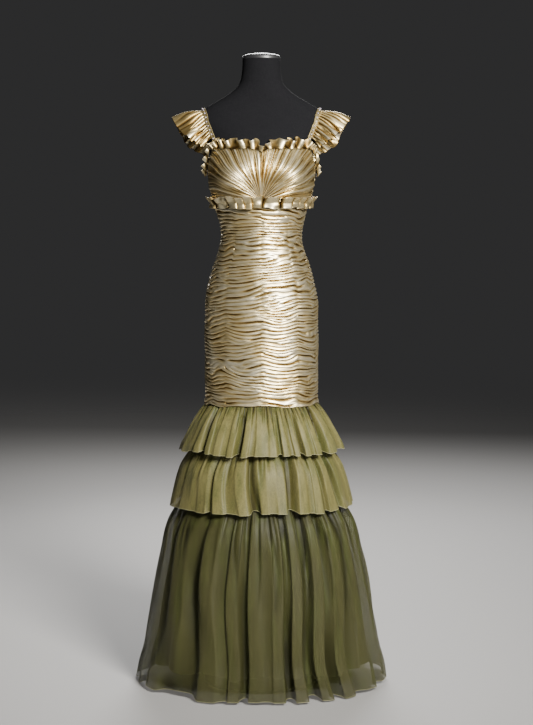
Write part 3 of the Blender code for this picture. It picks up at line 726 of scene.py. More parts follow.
def neckline_height(turn):
    """The bodice's top edge: level in front with a small dip, eased down under the arm, and up behind."""
    away = np.abs(turn)
    dip = 0.009 * np.exp(-((away / 6.0) ** 2))
    front = NECKLINE - dip - (NECKLINE - UNDERARM) * ease((away - 60.0) / 30.0)
    back = UNDERARM + (BACK_NECK - UNDERARM) * ease((away - 90.0) / 35.0)
    return np.where(away < 90.0, front, back)


print("top edge at 0, 90 and 180 degrees:", neckline_height(np.array([0.0, 90.0, 180.0])).round(4).tolist())

# %% Lines of the fan

FAN_PLEATS = 22
FAN_SPLITS = (0.0, 0.040, 0.086)
FAN_START = 0.004
FAN_COLUMNS, FAN_ROWS = 704, 84
FAN_WIDTH_A_DEGREE = 0.00245
FAN_DEEP = 0.0040
CUP_TURN, CUP_SPREAD, CUP_TALL = 34.0, 16.0, 0.032


def fan_grid(angles, rows):
    """Turns and heights of the fan: each column is a bowed line from its point to the panel's edge.

    The edge is the farthest of many steps that is still inside the panel, and the bow is a parabola.
    """
    side = 90.0
    reach = np.linspace(0.0, 0.30, 1201)[:, None]
    way = np.radians(angles)[None, :]
    turn = reach * np.cos(way) / FAN_WIDTH_A_DEGREE
    height = UNDERBUST + reach * np.sin(way)
    inside = (np.abs(turn) <= side) & (height <= neckline_height(turn) + 1e-9)
    end = np.where(inside, reach, 0.0).max(axis=0)
    end_turn = np.clip(end * np.cos(way[0]) / FAN_WIDTH_A_DEGREE, -side, side)
    end_height = UNDERBUST + end * np.sin(way[0])
    start_turn = FAN_START * np.cos(way[0]) / FAN_WIDTH_A_DEGREE
    start_height = UNDERBUST + FAN_START * np.sin(way[0])
    bow = 0.30 * (end_height - UNDERBUST) * np.abs(end_turn) / side
    t = np.linspace(1.0, 0.0, rows + 1)[:, None]
    middle_turn = (start_turn + end_turn) / 2
    middle_height = (start_height + end_height) / 2 + bow
    turns = (1 - t) ** 2 * start_turn + 2 * t * (1 - t) * middle_turn + t * t * end_turn
    heights = (1 - t) ** 2 * start_height + 2 * t * (1 - t) * middle_height + t * t * end_height
    return turns, heights

# %% The pleated front

def make_fan():
    """The bust front: the relief is the lowest of three sets of creases over the angle from the point.

    Each set has twice the pleats of the last and eases in farther out, so pleats split as they spread.
    """
    angles = np.linspace(180.0, 0.0, FAN_COLUMNS + 1)
    turns, heights = fan_grid(angles, FAN_ROWS)
    x = turns * FAN_WIDTH_A_DEGREE
    y = heights - UNDERBUST
    reach = np.hypot(x, y)
    way = angles[None, :] + 1.6 * drift(11, angles, 0 * angles, 12.0, 1.0)[None, :]
    way = way + 0.7 * drift(12, way, reach, 16.0, 0.07) * ease(reach / 0.04)
    relief = np.ones_like(reach)
    for level, split in enumerate(FAN_SPLITS):
        count = FAN_PLEATS * 2**level
        crease = 1.0 - crease_profile(way / 180.0 * count + 0.5 * (level > 0))
        begin = split * (1.0 + 0.35 * drift(13 + level, way, 0 * way, 260.0 / count, 1.0))
        depth = 0.78 + 0.34 * drift(23 + level, way, reach, 300.0 / count, 0.055)
        depth = np.clip(depth, 0.10, 1.1) * (1.0, 0.85, 0.70)[level]
        relief = np.minimum(relief, 1.0 - crease * depth * ease((reach - begin) / 0.022 + (level == 0)))
    beside, above = (np.abs(turns) - CUP_TURN) / CUP_SPREAD, (heights - BUST_HEIGHT) / CUP_TALL
    cups = np.exp(-(beside**2 + above**2))
    relief = 1.0 - (1.0 - relief) * (1.0 - 0.38 * cups)
    edge = np.linspace(0.0, 1.0, FAN_ROWS + 1)[:, None]
    size = np.minimum(FAN_DEEP, 0.0009 + 0.060 * reach) * (0.35 + 0.65 * ease(edge / 0.08))
    soft = 0.0007 * drift(14, x, y, 0.05, 0.05) * ease(edge / 0.1)
    outer = figure_point(turns, heights, CLOTH_OUT + 0.0006 + size * relief + soft)
    inner_turns, inner_heights = fan_grid(np.linspace(180.0, 0.0, 61), 20)
    inner = figure_point(inner_turns, inner_heights, CLOTH_IN)
    # Painted shade in the pleats' creases and a painted highlight on their crests.
    mark = np.clip(0.93 + 0.80 * (relief - 0.95), 0.0, 1.0)
    piece = wall("fan_pleats", outer, inner, satin, "satin", ridge=mark)
    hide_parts("bust_front")

make_fan()


# %% Plain backs


def make_bust_back(name, node, start, end, seed):
    """A plain back panel: the skin moved out by two random fields that are long across and short down."""
    turn = np.linspace(start, end, 81)[None, :]
    down = np.linspace(0.0, 1.0, 61)[:, None]
    top_edge = neckline_height(turn)
    height = top_edge + (UNDERBUST - top_edge) * down
    soft = drift(seed, np.radians(turn) * 0.13, height, 0.05, 0.016)
    fine = drift(seed + 1, np.radians(turn) * 0.13, height, 0.03, 0.008)
    out = CLOTH_OUT + 0.0010 + 0.0009 * soft + 0.0003 * fine
    outer = figure_point(turn, height, out)
    inner = figure_point(turn[:, ::4], height[::4, ::4], CLOTH_IN)
    # Painted shade: lighter where the strain lines stand out, darker between them.
    mark = np.clip(0.72 + 0.20 * soft + 0.06 * fine, 0.0, 1.0)
    piece = wall(name, outer, inner, satin, "satin", ridge=mark)
    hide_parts(node)

make_bust_back("bust_back_panel_left", "bust_back_left", -180.0, -90.0, 71)
make_bust_back("bust_back_panel_right", "bust_back_right", 90.0, 180.0, 72)

# %% [markdown]
# ## Two frills
#
# A frill is a narrow strip, nearly twice as long as its seam, gathered until it stands in loops. Seen
# from above, the neckline frill's edge is a row of omegas. A plain sine wave would look like a paper
# fan, because it never turns back on itself. So the strip swings out and in by one wave, and along the
# seam by another of twice the pace, and each loop has its own size, lean and height.
#
# The underbust frill is sewn down along its middle, so it pouts above and below the stitching, and deep
# gaps show between its loops.

# %% Measures of the frills

NECK_WAVES = 50
NECK_COLUMNS, NECK_ROWS = NECK_WAVES * 20, 12
NECK_TALL, ARMHOLE_TALL, NECK_LAP = 0.0235, 0.0115, 0.003
ARMHOLE_START, ARMHOLE_END = 48.0, 128.0
ARMHOLE_CROWD = 1.1
RUFFLE_IN, RUFFLE_SWING = 0.0112, 0.0082
WAIST_WAVES = 26
WAIST_COLUMNS, WAIST_ROWS = WAIST_WAVES * 28, 16
WAIST_TALL, WAIST_MIDDLE = 0.027, 1.3150
SATIN_THICK = 0.0008

print(f"{NECK_WAVES} loops on the neckline, {WAIST_WAVES} under the bust")


# %% The neckline frill

def at_armhole(turn):
    """1 along the armholes and 0 in front and behind, with a smooth step at each end."""
    away = np.abs(turn)
    return ease((away - ARMHOLE_START) / 10.0) * (1 - ease((away - ARMHOLE_END) / 14.0))


def neck_turns():
    """The turn of each column of the neck frill: even steps of the running total of how close waves are."""
    turn = np.linspace(-180.0, 180.0, 3601)
    crowd = np.cumsum(1.0 + ARMHOLE_CROWD * at_armhole(turn))
    crowd = (crowd - crowd[0]) / (crowd[-1] - crowd[0])
    return np.interp(np.arange(NECK_COLUMNS) / NECK_COLUMNS, crowd, turn)


def make_neck_ruffle():
    """The frill that stands on the neckline in round, uneven loops, and runs on round the armholes.

    Seen from above its edge is a row of omegas: out and in by a cosine, and along by a sine of twice it.
    """
    turn = neck_turns()[None, :]
    up = np.linspace(1.0, 0.0, NECK_ROWS + 1)[:, None]
    away = np.abs(turn)
    arm = at_armhole(turn)
    phase = np.arange(NECK_COLUMNS)[None, :] / NECK_COLUMNS * NECK_WAVES
    phase = phase + 0.34 * round_drift(21, turn, up * 0, 13.0, 1.0)
    phase = phase + 0.10 * up * round_drift(27, turn, up, 9.0, 1.4)
    size = np.clip(1.0 + 0.40 * round_drift(22, turn, up * 0, 9.0, 1.0), 0.45, 1.6) * (1.0 - 0.52 * arm)
    tall = NECK_TALL + (ARMHOLE_TALL - NECK_TALL) * arm
    tall = tall * (0.97 + 0.13 * round_drift(23, turn, up * 0, 7.0, 1.0))
    tall = np.where(away > 100.0, np.minimum(tall, 0.015), tall)
    tall = tall * (1.0 - 0.52 * np.exp(-(((turn - 4.0) / 4.0) ** 2)))
    wave = np.cos(2 * np.pi * phase)
    flare = 0.16 + 0.84 * up**0.9
    out = RUFFLE_IN + RUFFLE_SWING * size * flare * (wave + 0.12) + 0.0060 * arm * up
    out = np.maximum(out + 0.0007 * round_drift(24, turn, up * 0.02, 6.0, 0.01), 0.0036 + 0.0010 * up)
    crowd = 360.0 / NECK_WAVES / (1.0 + ARMHOLE_CROWD * arm)
    swing = 0.20 * crowd * np.clip(size, 0.0, 1.2) * flare * np.sin(4 * np.pi * phase)
    lean = 1.8 * up**1.3 * round_drift(25, turn, up * 0, 13.0, 1.0) * (1.0 - 0.7 * arm)
    curl = 1.0 - up * (0.10 * (1 + wave) * size + 0.06 * round_drift(28, turn, up * 0, 4.0, 1.0))
    lap = NECK_LAP * (1.0 + 0.5 * round_drift(29, turn, up * 0, 5.0, 1.0))
    height = neckline_height(turn) - lap + (lap + tall * curl) * up
    middle = figure_point(turn + swing + lean, height, out)
    # Painted shade inside the loops and along their foot, a painted highlight along the top edge, and a
    # little random variation.
    inside = (1.0 - wave) / 2.0
    mark = 0.84 - 0.74 * inside * (1.0 - 0.40 * up) - 0.20 * np.exp(-(((up - 0.10) / 0.12) ** 2))
    mark = np.clip(mark + 0.14 * up**6 + 0.08 * round_drift(26, turn, up, 5.0, 0.6), 0.0, 1.0)
    piece = thin_cloth("neckline_frill", middle, SATIN_THICK, satin, "satin", closed=True, ridge=mark)
    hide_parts("neckline_ruffle")

make_neck_ruffle()


# %% The underbust frill

def make_waist_ruffle():
    """The band of loops round the underbust seam: out by a boxy cosine, and along by a sine of its phase.

    The box is 1 less twice a high power of the cosine's dip, so loops are broad and the gaps narrow.
    """
    share = np.arange(WAIST_COLUMNS)[None, :] / WAIST_COLUMNS
    turn = share * 360.0 - 180.0
    across = np.linspace(1.0, -1.0, WAIST_ROWS + 1)[:, None]
    phase = share * WAIST_WAVES + 0.36 * round_drift(31, turn, across * 0, 30.0, 1.0)
    phase = phase + 0.07 * across * round_drift(36, turn, across * 0, 9.0, 1.0)
    size = np.clip(0.95 + 0.34 * round_drift(32, turn, across * 0, 12.0, 1.0), 0.5, 1.4)
    wave = np.cos(2 * np.pi * phase)
    box = 1.0 - 2.0 * ((1.0 - wave) / 2.0) ** 3.5
    flare = 0.72 + 0.28 * np.abs(across) ** 1.3
    out = 0.0082 + 0.0080 * size * flare * (box + 0.80) + 0.0014 * round_drift(33, turn, across, 4.0, 0.7)
    swing = 0.152 * 360.0 / WAIST_WAVES * np.sin(2 * np.pi * phase)
    ragged = 1.0 + 0.14 * round_drift(34, turn, across * 0, 6.0, 1.0) + 0.08 * box
    wavering = 0.0016 * round_drift(35, turn, across * 0, 18.0, 1.0)
    height = WAIST_MIDDLE + across * WAIST_TALL / 2 * ragged + wavering
    middle = figure_point(turn + swing, height, out)
    stitched = np.exp(-((across / 0.10) ** 2))
    # Painted shade in the gaps between the loops, a little darker along the stitching, and a painted
    # highlight on both edges.
    mark = 0.84 - 0.86 * ((1.0 - box) / 2.0) ** 0.5 - 0.08 * stitched + 0.10 * np.abs(across) ** 6
    piece = thin_cloth(
        "underbust_frill", middle, SATIN_THICK, satin, "satin", closed=True, ridge=np.clip(mark, 0.0, 1.0)
    )
    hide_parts("underbust_ruffle")

make_waist_ruffle()

# %% [markdown]
# ## Braid and beads
#
# Each strap is a gold braid: a flat plait between two twisted cords, with lilac pearls and gold seed
# beads sewn on in turn. Metal thread looks dull and dark between its strands and bright on them, so its
# colour is mottled at the scale of a strand, with a strong grain: the dark spots are painted shade and
# the light ones a painted highlight. Pearls are smooth, with a clear coat.
#
# The plait is a wall of cloth along the strap's path over the shoulder, with its ridges in the mesh. A
# cord is a circle carried along the path, whose radius has two lobes that turn as it goes, which is what
# two strands laid together look like. Curves with a bevel could make the cord round, but not laid.

# %% Thread and pearl
def make_braid_thread():
    """Antique gold metallic thread."""
    material, tree, shader = new_material("antique_gold_thread", 0.38, Metallic=0.55)
    # Painted shade and highlight: a random mottle of dark and light for the gaps and the bright strands.
    mottle(tree, shader, 300.0, (0.10, 0.075, 0.028), (0.34, 0.275, 0.130))
    add_grain(tree, shader, 1500.0, (1, 1, 1), 3.0, 0.5, 0.0006)
    return material


def make_pearl():
    """Pale lilac pearl beads."""
    material, tree, shader = new_material("lilac_pearl", 0.16, Coat_Weight=0.6, Coat_Roughness=0.08)
    mottle(tree, shader, 80.0, (0.36, 0.31, 0.38), (0.58, 0.52, 0.60))
    return material


thread = make_braid_thread()
pearl = make_pearl()
print("finishes:", thread.name, pearl.name)

# %% The strap's path

Stop = namedtuple("Stop", "share turn height")
STRAP_PATH = [
    Stop(0.00, 57.0, 1.4605),
    Stop(0.13, 55.5, 1.4950),
    Stop(0.27, 56.5, 1.5270),
    Stop(0.37, 62.0, 1.5490),
    Stop(0.44, 74.0, 1.5610),
    Stop(0.50, 90.0, 1.5645),
    Stop(0.56, 106.0, 1.5610),
    Stop(0.63, 119.0, 1.5490),
    Stop(0.74, 125.0, 1.5250),
    Stop(0.87, 128.0, 1.4850),
    Stop(1.00, 131.0, 1.4420),
]
STRAP_WIDE, STRAP_IN, STRAP_WALL = 0.011, 0.0012, 0.0016


def strap_frame(side, share):
    """The strap's middle line on the form, with its directions out of the skin and outwards.

    The skin's direction is the cross product of the ways round and up, and the outward one that of the
    way along and the skin.
    """
    def place(at, out):
        turn = side * smooth_curve(STRAP_PATH, "turn", at)
        return figure_point(turn, smooth_curve(STRAP_PATH, "height", at), out)

    step = 0.004
    line = place(share, STRAP_IN)
    along = place(share + step, STRAP_IN) - place(share - step, STRAP_IN)
    along /= np.linalg.norm(along, axis=-1, keepdims=True)
    turn = side * smooth_curve(STRAP_PATH, "turn", share)
    height = smooth_curve(STRAP_PATH, "height", share)
    round_way = figure_point(turn + 0.5, height, 0.0) - figure_point(turn - 0.5, height, 0.0)
    up_way = figure_point(turn, height + 0.002, 0.0) - figure_point(turn, height - 0.002, 0.0)
    skin = np.cross(round_way, up_way)
    skin /= np.linalg.norm(skin, axis=-1, keepdims=True)
    outwards = side * np.cross(along, skin)
    outwards /= np.linalg.norm(outwards, axis=-1, keepdims=True)
    return line, skin, outwards

start_line, _, _ = strap_frame(1, np.array([0.0, 0.5, 1.0]))
print("a strap starts, peaks and ends at heights", start_line[:, 2].round(3).tolist())


# %% Cords and beads
def tube(name, path, radius, material, sides=6, closed=False, twist=0.0, strands=0):
    """A round cord: a circle across the path at each of its points.

    With strands, the radius grows and shrinks round the circle by a cosine of strands times the angle,
    less the run along the path times twist, so the lobes wind round it.
    """
    path = np.asarray(path, float)
    if closed:
        along = np.roll(path, -1, axis=0) - np.roll(path, 1, axis=0)
    else:
        along = np.gradient(path, axis=0)
    along /= np.linalg.norm(along, axis=-1, keepdims=True)
    up = np.array([0.0, 0.0, 1.0]) - along * along[:, 2:]
    up /= np.maximum(np.linalg.norm(up, axis=-1, keepdims=True), 1e-9)
    side = np.cross(along, up)
    angle = np.arange(sides) * 2 * np.pi / sides
    run = np.cumsum(np.linalg.norm(np.diff(path, axis=0, prepend=path[:1]), axis=-1))[:, None]
    lay = 1.0 + (0.22 * np.cos(strands * angle[None] - twist * run) if strands else 0.0 * run)
    across = np.cos(angle)[None, :, None] * side[:, None] + np.sin(angle)[None, :, None] * up[:, None]
    points = path[:, None] + (radius * lay * np.ones(sides))[..., None] * across
    index = grid_indices(0, len(path), sides, True)
    if closed:
        index = np.concatenate([index, index[:1]], axis=0)
    faces = grid_quads(index).tolist()
    if not closed:
        faces += index[(0, -1), :-1].tolist()
    return finish_piece(name, points.reshape(-1, 3), faces, material)


HEM_RADIUS = 0.0008
BEAD_SIDES, BEAD_RINGS = 10, 7


def bead_row(name, centres, radius, material):
    """Balls at the given centres: rings as wide as the sine of their angle and as high as its cosine."""
    down = ((np.arange(BEAD_RINGS) + 0.5) * np.pi / BEAD_RINGS)[:, None]
    around = (np.arange(BEAD_SIDES) * 2 * np.pi / BEAD_SIDES)[None, :]
    ball = [np.sin(down) * np.cos(around), np.sin(down) * np.sin(around), np.cos(down) + 0 * around]
    points = centres[:, None, None] + radius * np.stack(ball, axis=-1)
    index = np.arange(len(centres) * BEAD_RINGS * BEAD_SIDES).reshape(-1, BEAD_RINGS, BEAD_SIDES)
    index = np.concatenate([index, index[..., :1]], axis=-1)
    ends = index[:, (0, -1), :-1].reshape(-1, BEAD_SIDES)
    faces = grid_quads(index).tolist() + ends.tolist()
    return finish_piece(name, points.reshape(-1, 3), faces, material)


# %% Straps
BEAD_PITCH, BEAD_RADIUS, SEED_RADIUS = 0.0125, 0.0020, 0.0011
BEAD_START, BEAD_END = 0.010, 0.006
CORD_RADIUS, CORD_LAY = 0.0011, 0.0034


def make_strap(side, where):
    """A braid: a band whose plait is a sine without its sign along the run, turned back at the edges.

    Two laid cords lie on its edges, and beads stand along its middle line.
    """
    share = np.linspace(0.015, 0.985, 220)
    line, skin, outwards = strap_frame(side, share)
    run = np.concatenate([[0.0], np.cumsum(np.linalg.norm(np.diff(line, axis=0), axis=-1))])
    across = np.linspace(1.0, -1.0, 13)[:, None]
    plait = 0.00035 * np.abs(np.sin(np.pi * run[None, :] / 0.0042 + 2.2 * np.abs(across)))
    crown = 0.0005 * (1 - across**2)
    edges = line[None] + outwards[None] * (across[..., None] * STRAP_WIDE / 2)
    inner = edges + skin[None] * 0.0006 * across[..., None] ** 2
    outer = inner + skin[None] * (STRAP_WALL + 0.0002 + crown + plait)[..., None]
    mark = np.clip(0.4 + 900.0 * plait, 0.0, 1.0)
    piece = wall(f"strap_braid_{where}", outer, inner, thread, "braid", ridge=mark)
    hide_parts(f"strap_{where}")
    for edge, edge_name in ((1, "outer"), (-1, "inner")):
        cord_line = line + outwards * edge * (STRAP_WIDE / 2 - CORD_RADIUS) + skin * 0.0026
        cord = tube(
            f"strap_cord_{where}_{edge_name}", cord_line, CORD_RADIUS, thread,
            sides=10, twist=2 * np.pi / CORD_LAY, strands=2,
        )
    for kind, radius, start, cloth in (
        ("pearls", BEAD_RADIUS, BEAD_START, pearl),
        ("seed_beads", SEED_RADIUS, BEAD_START + BEAD_PITCH / 2, thread),
    ):
        at = np.searchsorted(run, np.arange(start, run[-1] - BEAD_END, BEAD_PITCH))
        centres = line[at] + skin[at] * (STRAP_WALL + 0.0010 + radius * 0.75)
        bead_row(f"strap_{kind}_{where}", centres, radius, cloth)


for side, where in ((-1, "left"), (1, "right")):
    make_strap(side, where)

# %% [markdown]
# ## Flutter sleeves
#
# A flutter sleeve is a half round of satin. Its straight edge is gathered into the strap and its curved
# edge hangs free over the shoulder. Near the strap it is full of close gathers, and outwards it opens
# into a few broad folds. The grid runs along the strap and out to the hem. A table gives the length and
# the way out at some places along the strap, and the folds are lifted off that sheet by two waves: fine
# gathers that fade outwards, and broad folds that grow outwards.

# %% The sleeve's spread

Flare = namedtuple("Flare", "share length out forward up")
SLEEVE = [
    Flare(0.00, 0.032, 0.60, 0.34, -0.62),
    Flare(0.22, 0.060, 0.70, 0.28, -0.58),
    Flare(0.38, 0.074, 0.84, 0.14, -0.44),
    Flare(0.50, 0.081, 0.99, 0.00, -0.12),
    Flare(0.62, 0.078, 0.86, -0.12, -0.46),
    Flare(0.80, 0.076, 0.74, -0.22, -0.62),
    Flare(1.00, 0.042, 0.70, -0.20, -0.62),
]
SLEEVE_FROM, SLEEVE_TO = 0.120, 0.890
SLEEVE_FOLDS, SLEEVE_GATHERS = 8, 22
SLEEVE_COLUMNS, SLEEVE_ROWS = 240, 32

print(f"a sleeve reaches {1000 * max(row.length for row in SLEEVE):.0f} mm from its strap")


# %% Sleeves

def make_sleeve(side, where, seed):
    """A flutter sleeve: a point is the strap's edge plus its share of the reach, lifted by the two waves."""
    share = np.linspace(0.0, 1.0, SLEEVE_COLUMNS + 1)
    across = np.linspace(0.0, 1.0, SLEEVE_ROWS + 1)
    at = SLEEVE_FROM + (SLEEVE_TO - SLEEVE_FROM) * share
    line, skin, outwards = strap_frame(side, at)
    root = line + outwards * (STRAP_WIDE / 2 + 0.0006) + skin * 0.0014
    way = np.stack(
        [
            side * smooth_curve(SLEEVE, "out", share),
            -smooth_curve(SLEEVE, "forward", share),
            smooth_curve(SLEEVE, "up", share),
        ],
        axis=-1,
    )
    way /= np.linalg.norm(way, axis=-1, keepdims=True)
    reach = smooth_curve(SLEEVE, "length", share)[:, None] * way
    along = np.gradient(root + reach, axis=0)
    along /= np.linalg.norm(along, axis=-1, keepdims=True)
    lift = side * np.cross(along, way)
    lift /= np.linalg.norm(lift, axis=-1, keepdims=True)
    lift *= np.where(lift[:, 2:] < 0, -1.0, 1.0)
    t = across[:, None]
    s = share[None, :]
    phase = SLEEVE_FOLDS * (s + 0.08 * np.sin(2 * np.pi * s)) + 0.40 * drift(seed, s, t * 0.25, 0.30, 0.5)
    wave = np.cos(2 * np.pi * phase)
    broad = np.sign(wave) * np.abs(wave) ** 0.8
    swell = np.sin(np.pi * s) ** 0.4
    smooth_tip = 1.0 - 0.74 * np.exp(-(((s - 0.47) / 0.13) ** 2))
    size = 0.0105 * (0.85 + 0.30 * drift(seed + 1, s, 0 * s, 0.2, 1.0)) * swell * smooth_tip
    gathers = crease_profile(s * SLEEVE_GATHERS + 0.5 * drift(seed + 2, s, t, 0.16, 0.9)) - 1.0
    run_out = 0.95 + 0.42 * drift(seed + 5, s, 0 * s, 0.045, 1.0)
    gathers = gathers * ease(1.5 - 1.2 * t / np.clip(run_out, 0.25, 1.5)) * (0.3 + 0.7 * ease(t / 0.05))
    rise = size * (broad + 0.45) * t**1.1 + 0.0042 * gathers + 0.0010 * drift(seed + 3, s, t, 0.12, 0.4) * t
    slide = 0.0030 * swell * smooth_tip * np.sin(4 * np.pi * phase) * t**1.3
    rise = rise + 0.0045 * np.sin(np.pi * t) * np.exp(-(((s - 0.50) / 0.16) ** 2))
    length = 1.0 + 0.016 * drift(seed + 4, s, 0 * s, 0.20, 1.0) * swell
    droop = -0.006 * (t * t)[..., None] * np.array([0.0, 0.0, 1.0])
    middle = (
        root[None] + reach[None] * (t * length)[..., None] + lift[None] * rise[..., None]
        + along[None] * slide[..., None] + droop
    )
    # Painted shade in the gathers and the broad folds' hollows, a painted highlight on their crests.
    mark = np.clip(0.70 + 0.40 * broad * (0.35 + 0.65 * t) * swell * smooth_tip + 0.80 * gathers, 0.0, 1.0)
    piece = thin_cloth(f"flutter_sleeve_{where}", middle, SATIN_THICK, satin, "satin", ridge=mark)
    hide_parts(f"sleeve_{where}")
    hem = tube(f"flutter_sleeve_hem_{where}", middle[-1], HEM_RADIUS, satin, sides=6)

for side, where, seed in ((-1, "left", 81), (1, "right", 91)):
    make_sleeve(side, where, seed)

# %% [markdown]
# ## Chiffon and lining
#
# Chiffon is so thin that the lining shows through, and this one is shot: its threads are green one way
# and beige the other, so its colour changes along a fold. Real sheer cloth lets part of the light by.
# The shader does this with its alpha, which a fine noise varies as the weave does. The colour is a
# ramp over the place in the fold: painted shade, much darker, in the valleys, and greener there, which
# paints in the shot cloth's change of colour with the angle. Long green streaks are blended in down the
# folds. The lining has the streaks too, and is opaque, with painted shade in its valleys as well. The
# rolled hems are two layers of chiffon with thread over them, so they are paler.

# %% Sheer and opaque cloth
def make_chiffon(name, opacity, dark, middle, light):
    """Sheer shot chiffon: a ramp of painted shade over the fold, green streaks mixed in, and fine threads
    multiplied in.
    """
    material, tree, shader = new_material(name, 0.50, Sheen_Weight=0.06, Specular_IOR_Level=0.22)
    shader.inputs["Sheen Tint"].default_value = (0.95, 0.92, 0.75, 1.0)
    fold = mark_value(tree, "ridge")
    # Painted shade: dark in the valleys, light on the crests, and the green stronger in the valleys.
    base = ramp(tree, fold, (0.0, dark), (0.50, middle), (1.0, light))
    streak = streaks(tree, 38.0, (1, 1, 0.07), 4.0, low=0.46, high=0.66)
    fine_streak = streaks(tree, 130.0, (1, 1, 0.05), 3.0, low=0.30, high=0.75, least=0.80, most=1.08)
    green = mix_colour(tree, spread(tree, fold, 0.0, 1.0, 0.9, 0.45), base, GREEN_THREAD)
    shaded = mix_colour(tree, streak, base, green)
    threads = grey(tree, fine_streak)
    tree.links.new(mix_colour(tree, 1.0, shaded, threads, "MULTIPLY"), shader.inputs["Base Color"])
    mesh = streaks(tree, 700.0, detail=1.0, low=0.35, high=0.65, least=opacity - 0.08, most=opacity + 0.08)
    tree.links.new(mesh, shader.inputs["Alpha"])
    add_grain(tree, shader, 300.0, (1, 1, 0.12), 3.0, 0.22, 0.0008)
    return material


def make_lining_cloth():
    """The opaque olive green lining: a ramp of painted shade over the fold, with soft vertical streaks mixed
    in.
    """
    material, tree, shader = new_material("olive_lining", 0.46, Sheen_Weight=0.1, Specular_IOR_Level=0.3)
    # Painted shade: darker in the fold valleys, lighter on the crests.
    base = ramp(tree, mark_value(tree, "ridge"), (0.0, (0.017, 0.020, 0.005)), (1.0, (0.068, 0.072, 0.025)))
    streak = streaks(tree, 22.0, (1, 1, 0.08), 3.0, low=0.35, high=0.7)
    tree.links.new(mix_colour(tree, streak, base, (0.078, 0.077, 0.032)), shader.inputs["Base Color"])
    add_grain(tree, shader, 480.0, (1, 1, 0.3), 2.0, 0.10, 0.0005)
    return material


def make_hem_cloth():
    """The rolled hems: two layers of chiffon and thread, so paler and not sheer."""
    material, tree, shader = new_material("rolled_hem", 0.5, Sheen_Weight=0.1)
    mottle(tree, shader, 260.0, (0.19, 0.18, 0.080), (0.31, 0.29, 0.155))
    add_grain(tree, shader, 900.0, (1, 1, 1), 3.0, 0.3, 0.0005)
    return material


GREEN_THREAD = (0.086, 0.099, 0.026)
tier_chiffon = make_chiffon(
    "tier_chiffon", 0.72, (0.022, 0.018, 0.003), (0.106, 0.096, 0.026), (0.208, 0.188, 0.070)
)
# The long tier's chiffon is darker than the upper tiers': partly its own colour and partly painted shade, for
# light that falls off towards the hem.
long_chiffon_with_painted_shade = make_chiffon(
    "long_chiffon_with_painted_shade", 0.50, (0.010, 0.010, 0.002), (0.045, 0.045, 0.013), (0.092, 0.089, 0.034)
)
lining_cloth = make_lining_cloth()
hem_cloth = make_hem_cloth()
print("finishes:", tier_chiffon.name, long_chiffon_with_painted_shade.name, lining_cloth.name, hem_cloth.name)

# %% [markdown]
# ## The skirt
#
# Under the tiers hangs the lining, a plain flare. Three tiers of chiffon are gathered onto it, the top
# one shortest. At its seam a tier is all close gathers. They run out one by one, and below them stand
# broad folds with narrow valleys between, no two alike, down to a hem that dips and rises with them.
#
# A simulation would give such folds, but not at the places that the photo shows. So the front's folds
# are a list of turns and depths read off the photo, and behind they are spread evenly and varied. Between two
# crests the fold is a cosine made narrow by a power, and gathers are taken off it near the seam.

# %% The layers' outlines

Hang = namedtuple("Hang", "height half_width front_share back_share wave")
LINING = [
    Hang(0.035, 0.2930, 0.770, 0.830, 0.0100),
    Hang(0.096, 0.2850, 0.770, 0.830, 0.0090),
    Hang(0.164, 0.2760, 0.770, 0.830, 0.0080),
    Hang(0.232, 0.2670, 0.765, 0.825, 0.0070),
    Hang(0.299, 0.2560, 0.760, 0.820, 0.0060),
    Hang(0.366, 0.2410, 0.755, 0.810, 0.0050),
    Hang(0.420, 0.2280, 0.750, 0.800, 0.0040),
    Hang(0.461, 0.2150, 0.745, 0.790, 0.0025),
    Hang(0.500, 0.2030, 0.740, 0.780, 0.0010),
    Hang(0.540, 0.1950, 0.730, 0.770, 0.0000),
    Hang(0.600, 0.1800, 0.720, 0.755, 0.0000),
    Hang(0.680, 0.1610, 0.705, 0.740, 0.0000),
    Hang(0.7735, 0.1470, 0.6955, 0.7295, 0.0000),
]
TIER_TOP = [
    Hang(0.640, 0.2160, 0.760, 0.800, 0.0110),
    Hang(0.656, 0.2120, 0.755, 0.795, 0.0110),
    Hang(0.684, 0.2000, 0.750, 0.785, 0.0100),
    Hang(0.711, 0.1870, 0.740, 0.770, 0.0090),
    Hang(0.739, 0.1720, 0.720, 0.755, 0.0070),
    Hang(0.765, 0.1560, 0.705, 0.740, 0.0030),
]
TIER_MIDDLE = [
    Hang(0.489, 0.2435, 0.775, 0.815, 0.0110),
    Hang(0.517, 0.2370, 0.765, 0.810, 0.0105),
    Hang(0.545, 0.2300, 0.760, 0.805, 0.0105),
    Hang(0.573, 0.2220, 0.755, 0.800, 0.0105),
    Hang(0.600, 0.2125, 0.750, 0.795, 0.0105),
    Hang(0.620, 0.2020, 0.745, 0.785, 0.0095),
    Hang(0.640, 0.1890, 0.740, 0.775, 0.0080),
    Hang(0.665, 0.1730, 0.725, 0.760, 0.0050),
]
TIER_LONG = [
    Hang(0.004, 0.3340, 0.780, 0.840, 0.0170),
    Hang(0.051, 0.3260, 0.780, 0.840, 0.0160),
    Hang(0.096, 0.3135, 0.780, 0.840, 0.0150),
    Hang(0.164, 0.3030, 0.780, 0.835, 0.0145),
    Hang(0.232, 0.2935, 0.775, 0.830, 0.0140),
    Hang(0.299, 0.2820, 0.770, 0.825, 0.0135),
    Hang(0.366, 0.2680, 0.765, 0.820, 0.0125),
    Hang(0.420, 0.2570, 0.760, 0.815, 0.0115),
    Hang(0.455, 0.2455, 0.755, 0.810, 0.0100),
    Hang(0.489, 0.2280, 0.745, 0.795, 0.0060),
    Hang(0.520, 0.2090, 0.735, 0.780, 0.0030),
]
CLOTH = 0.0009

CLOTH_GAP = 0.0024


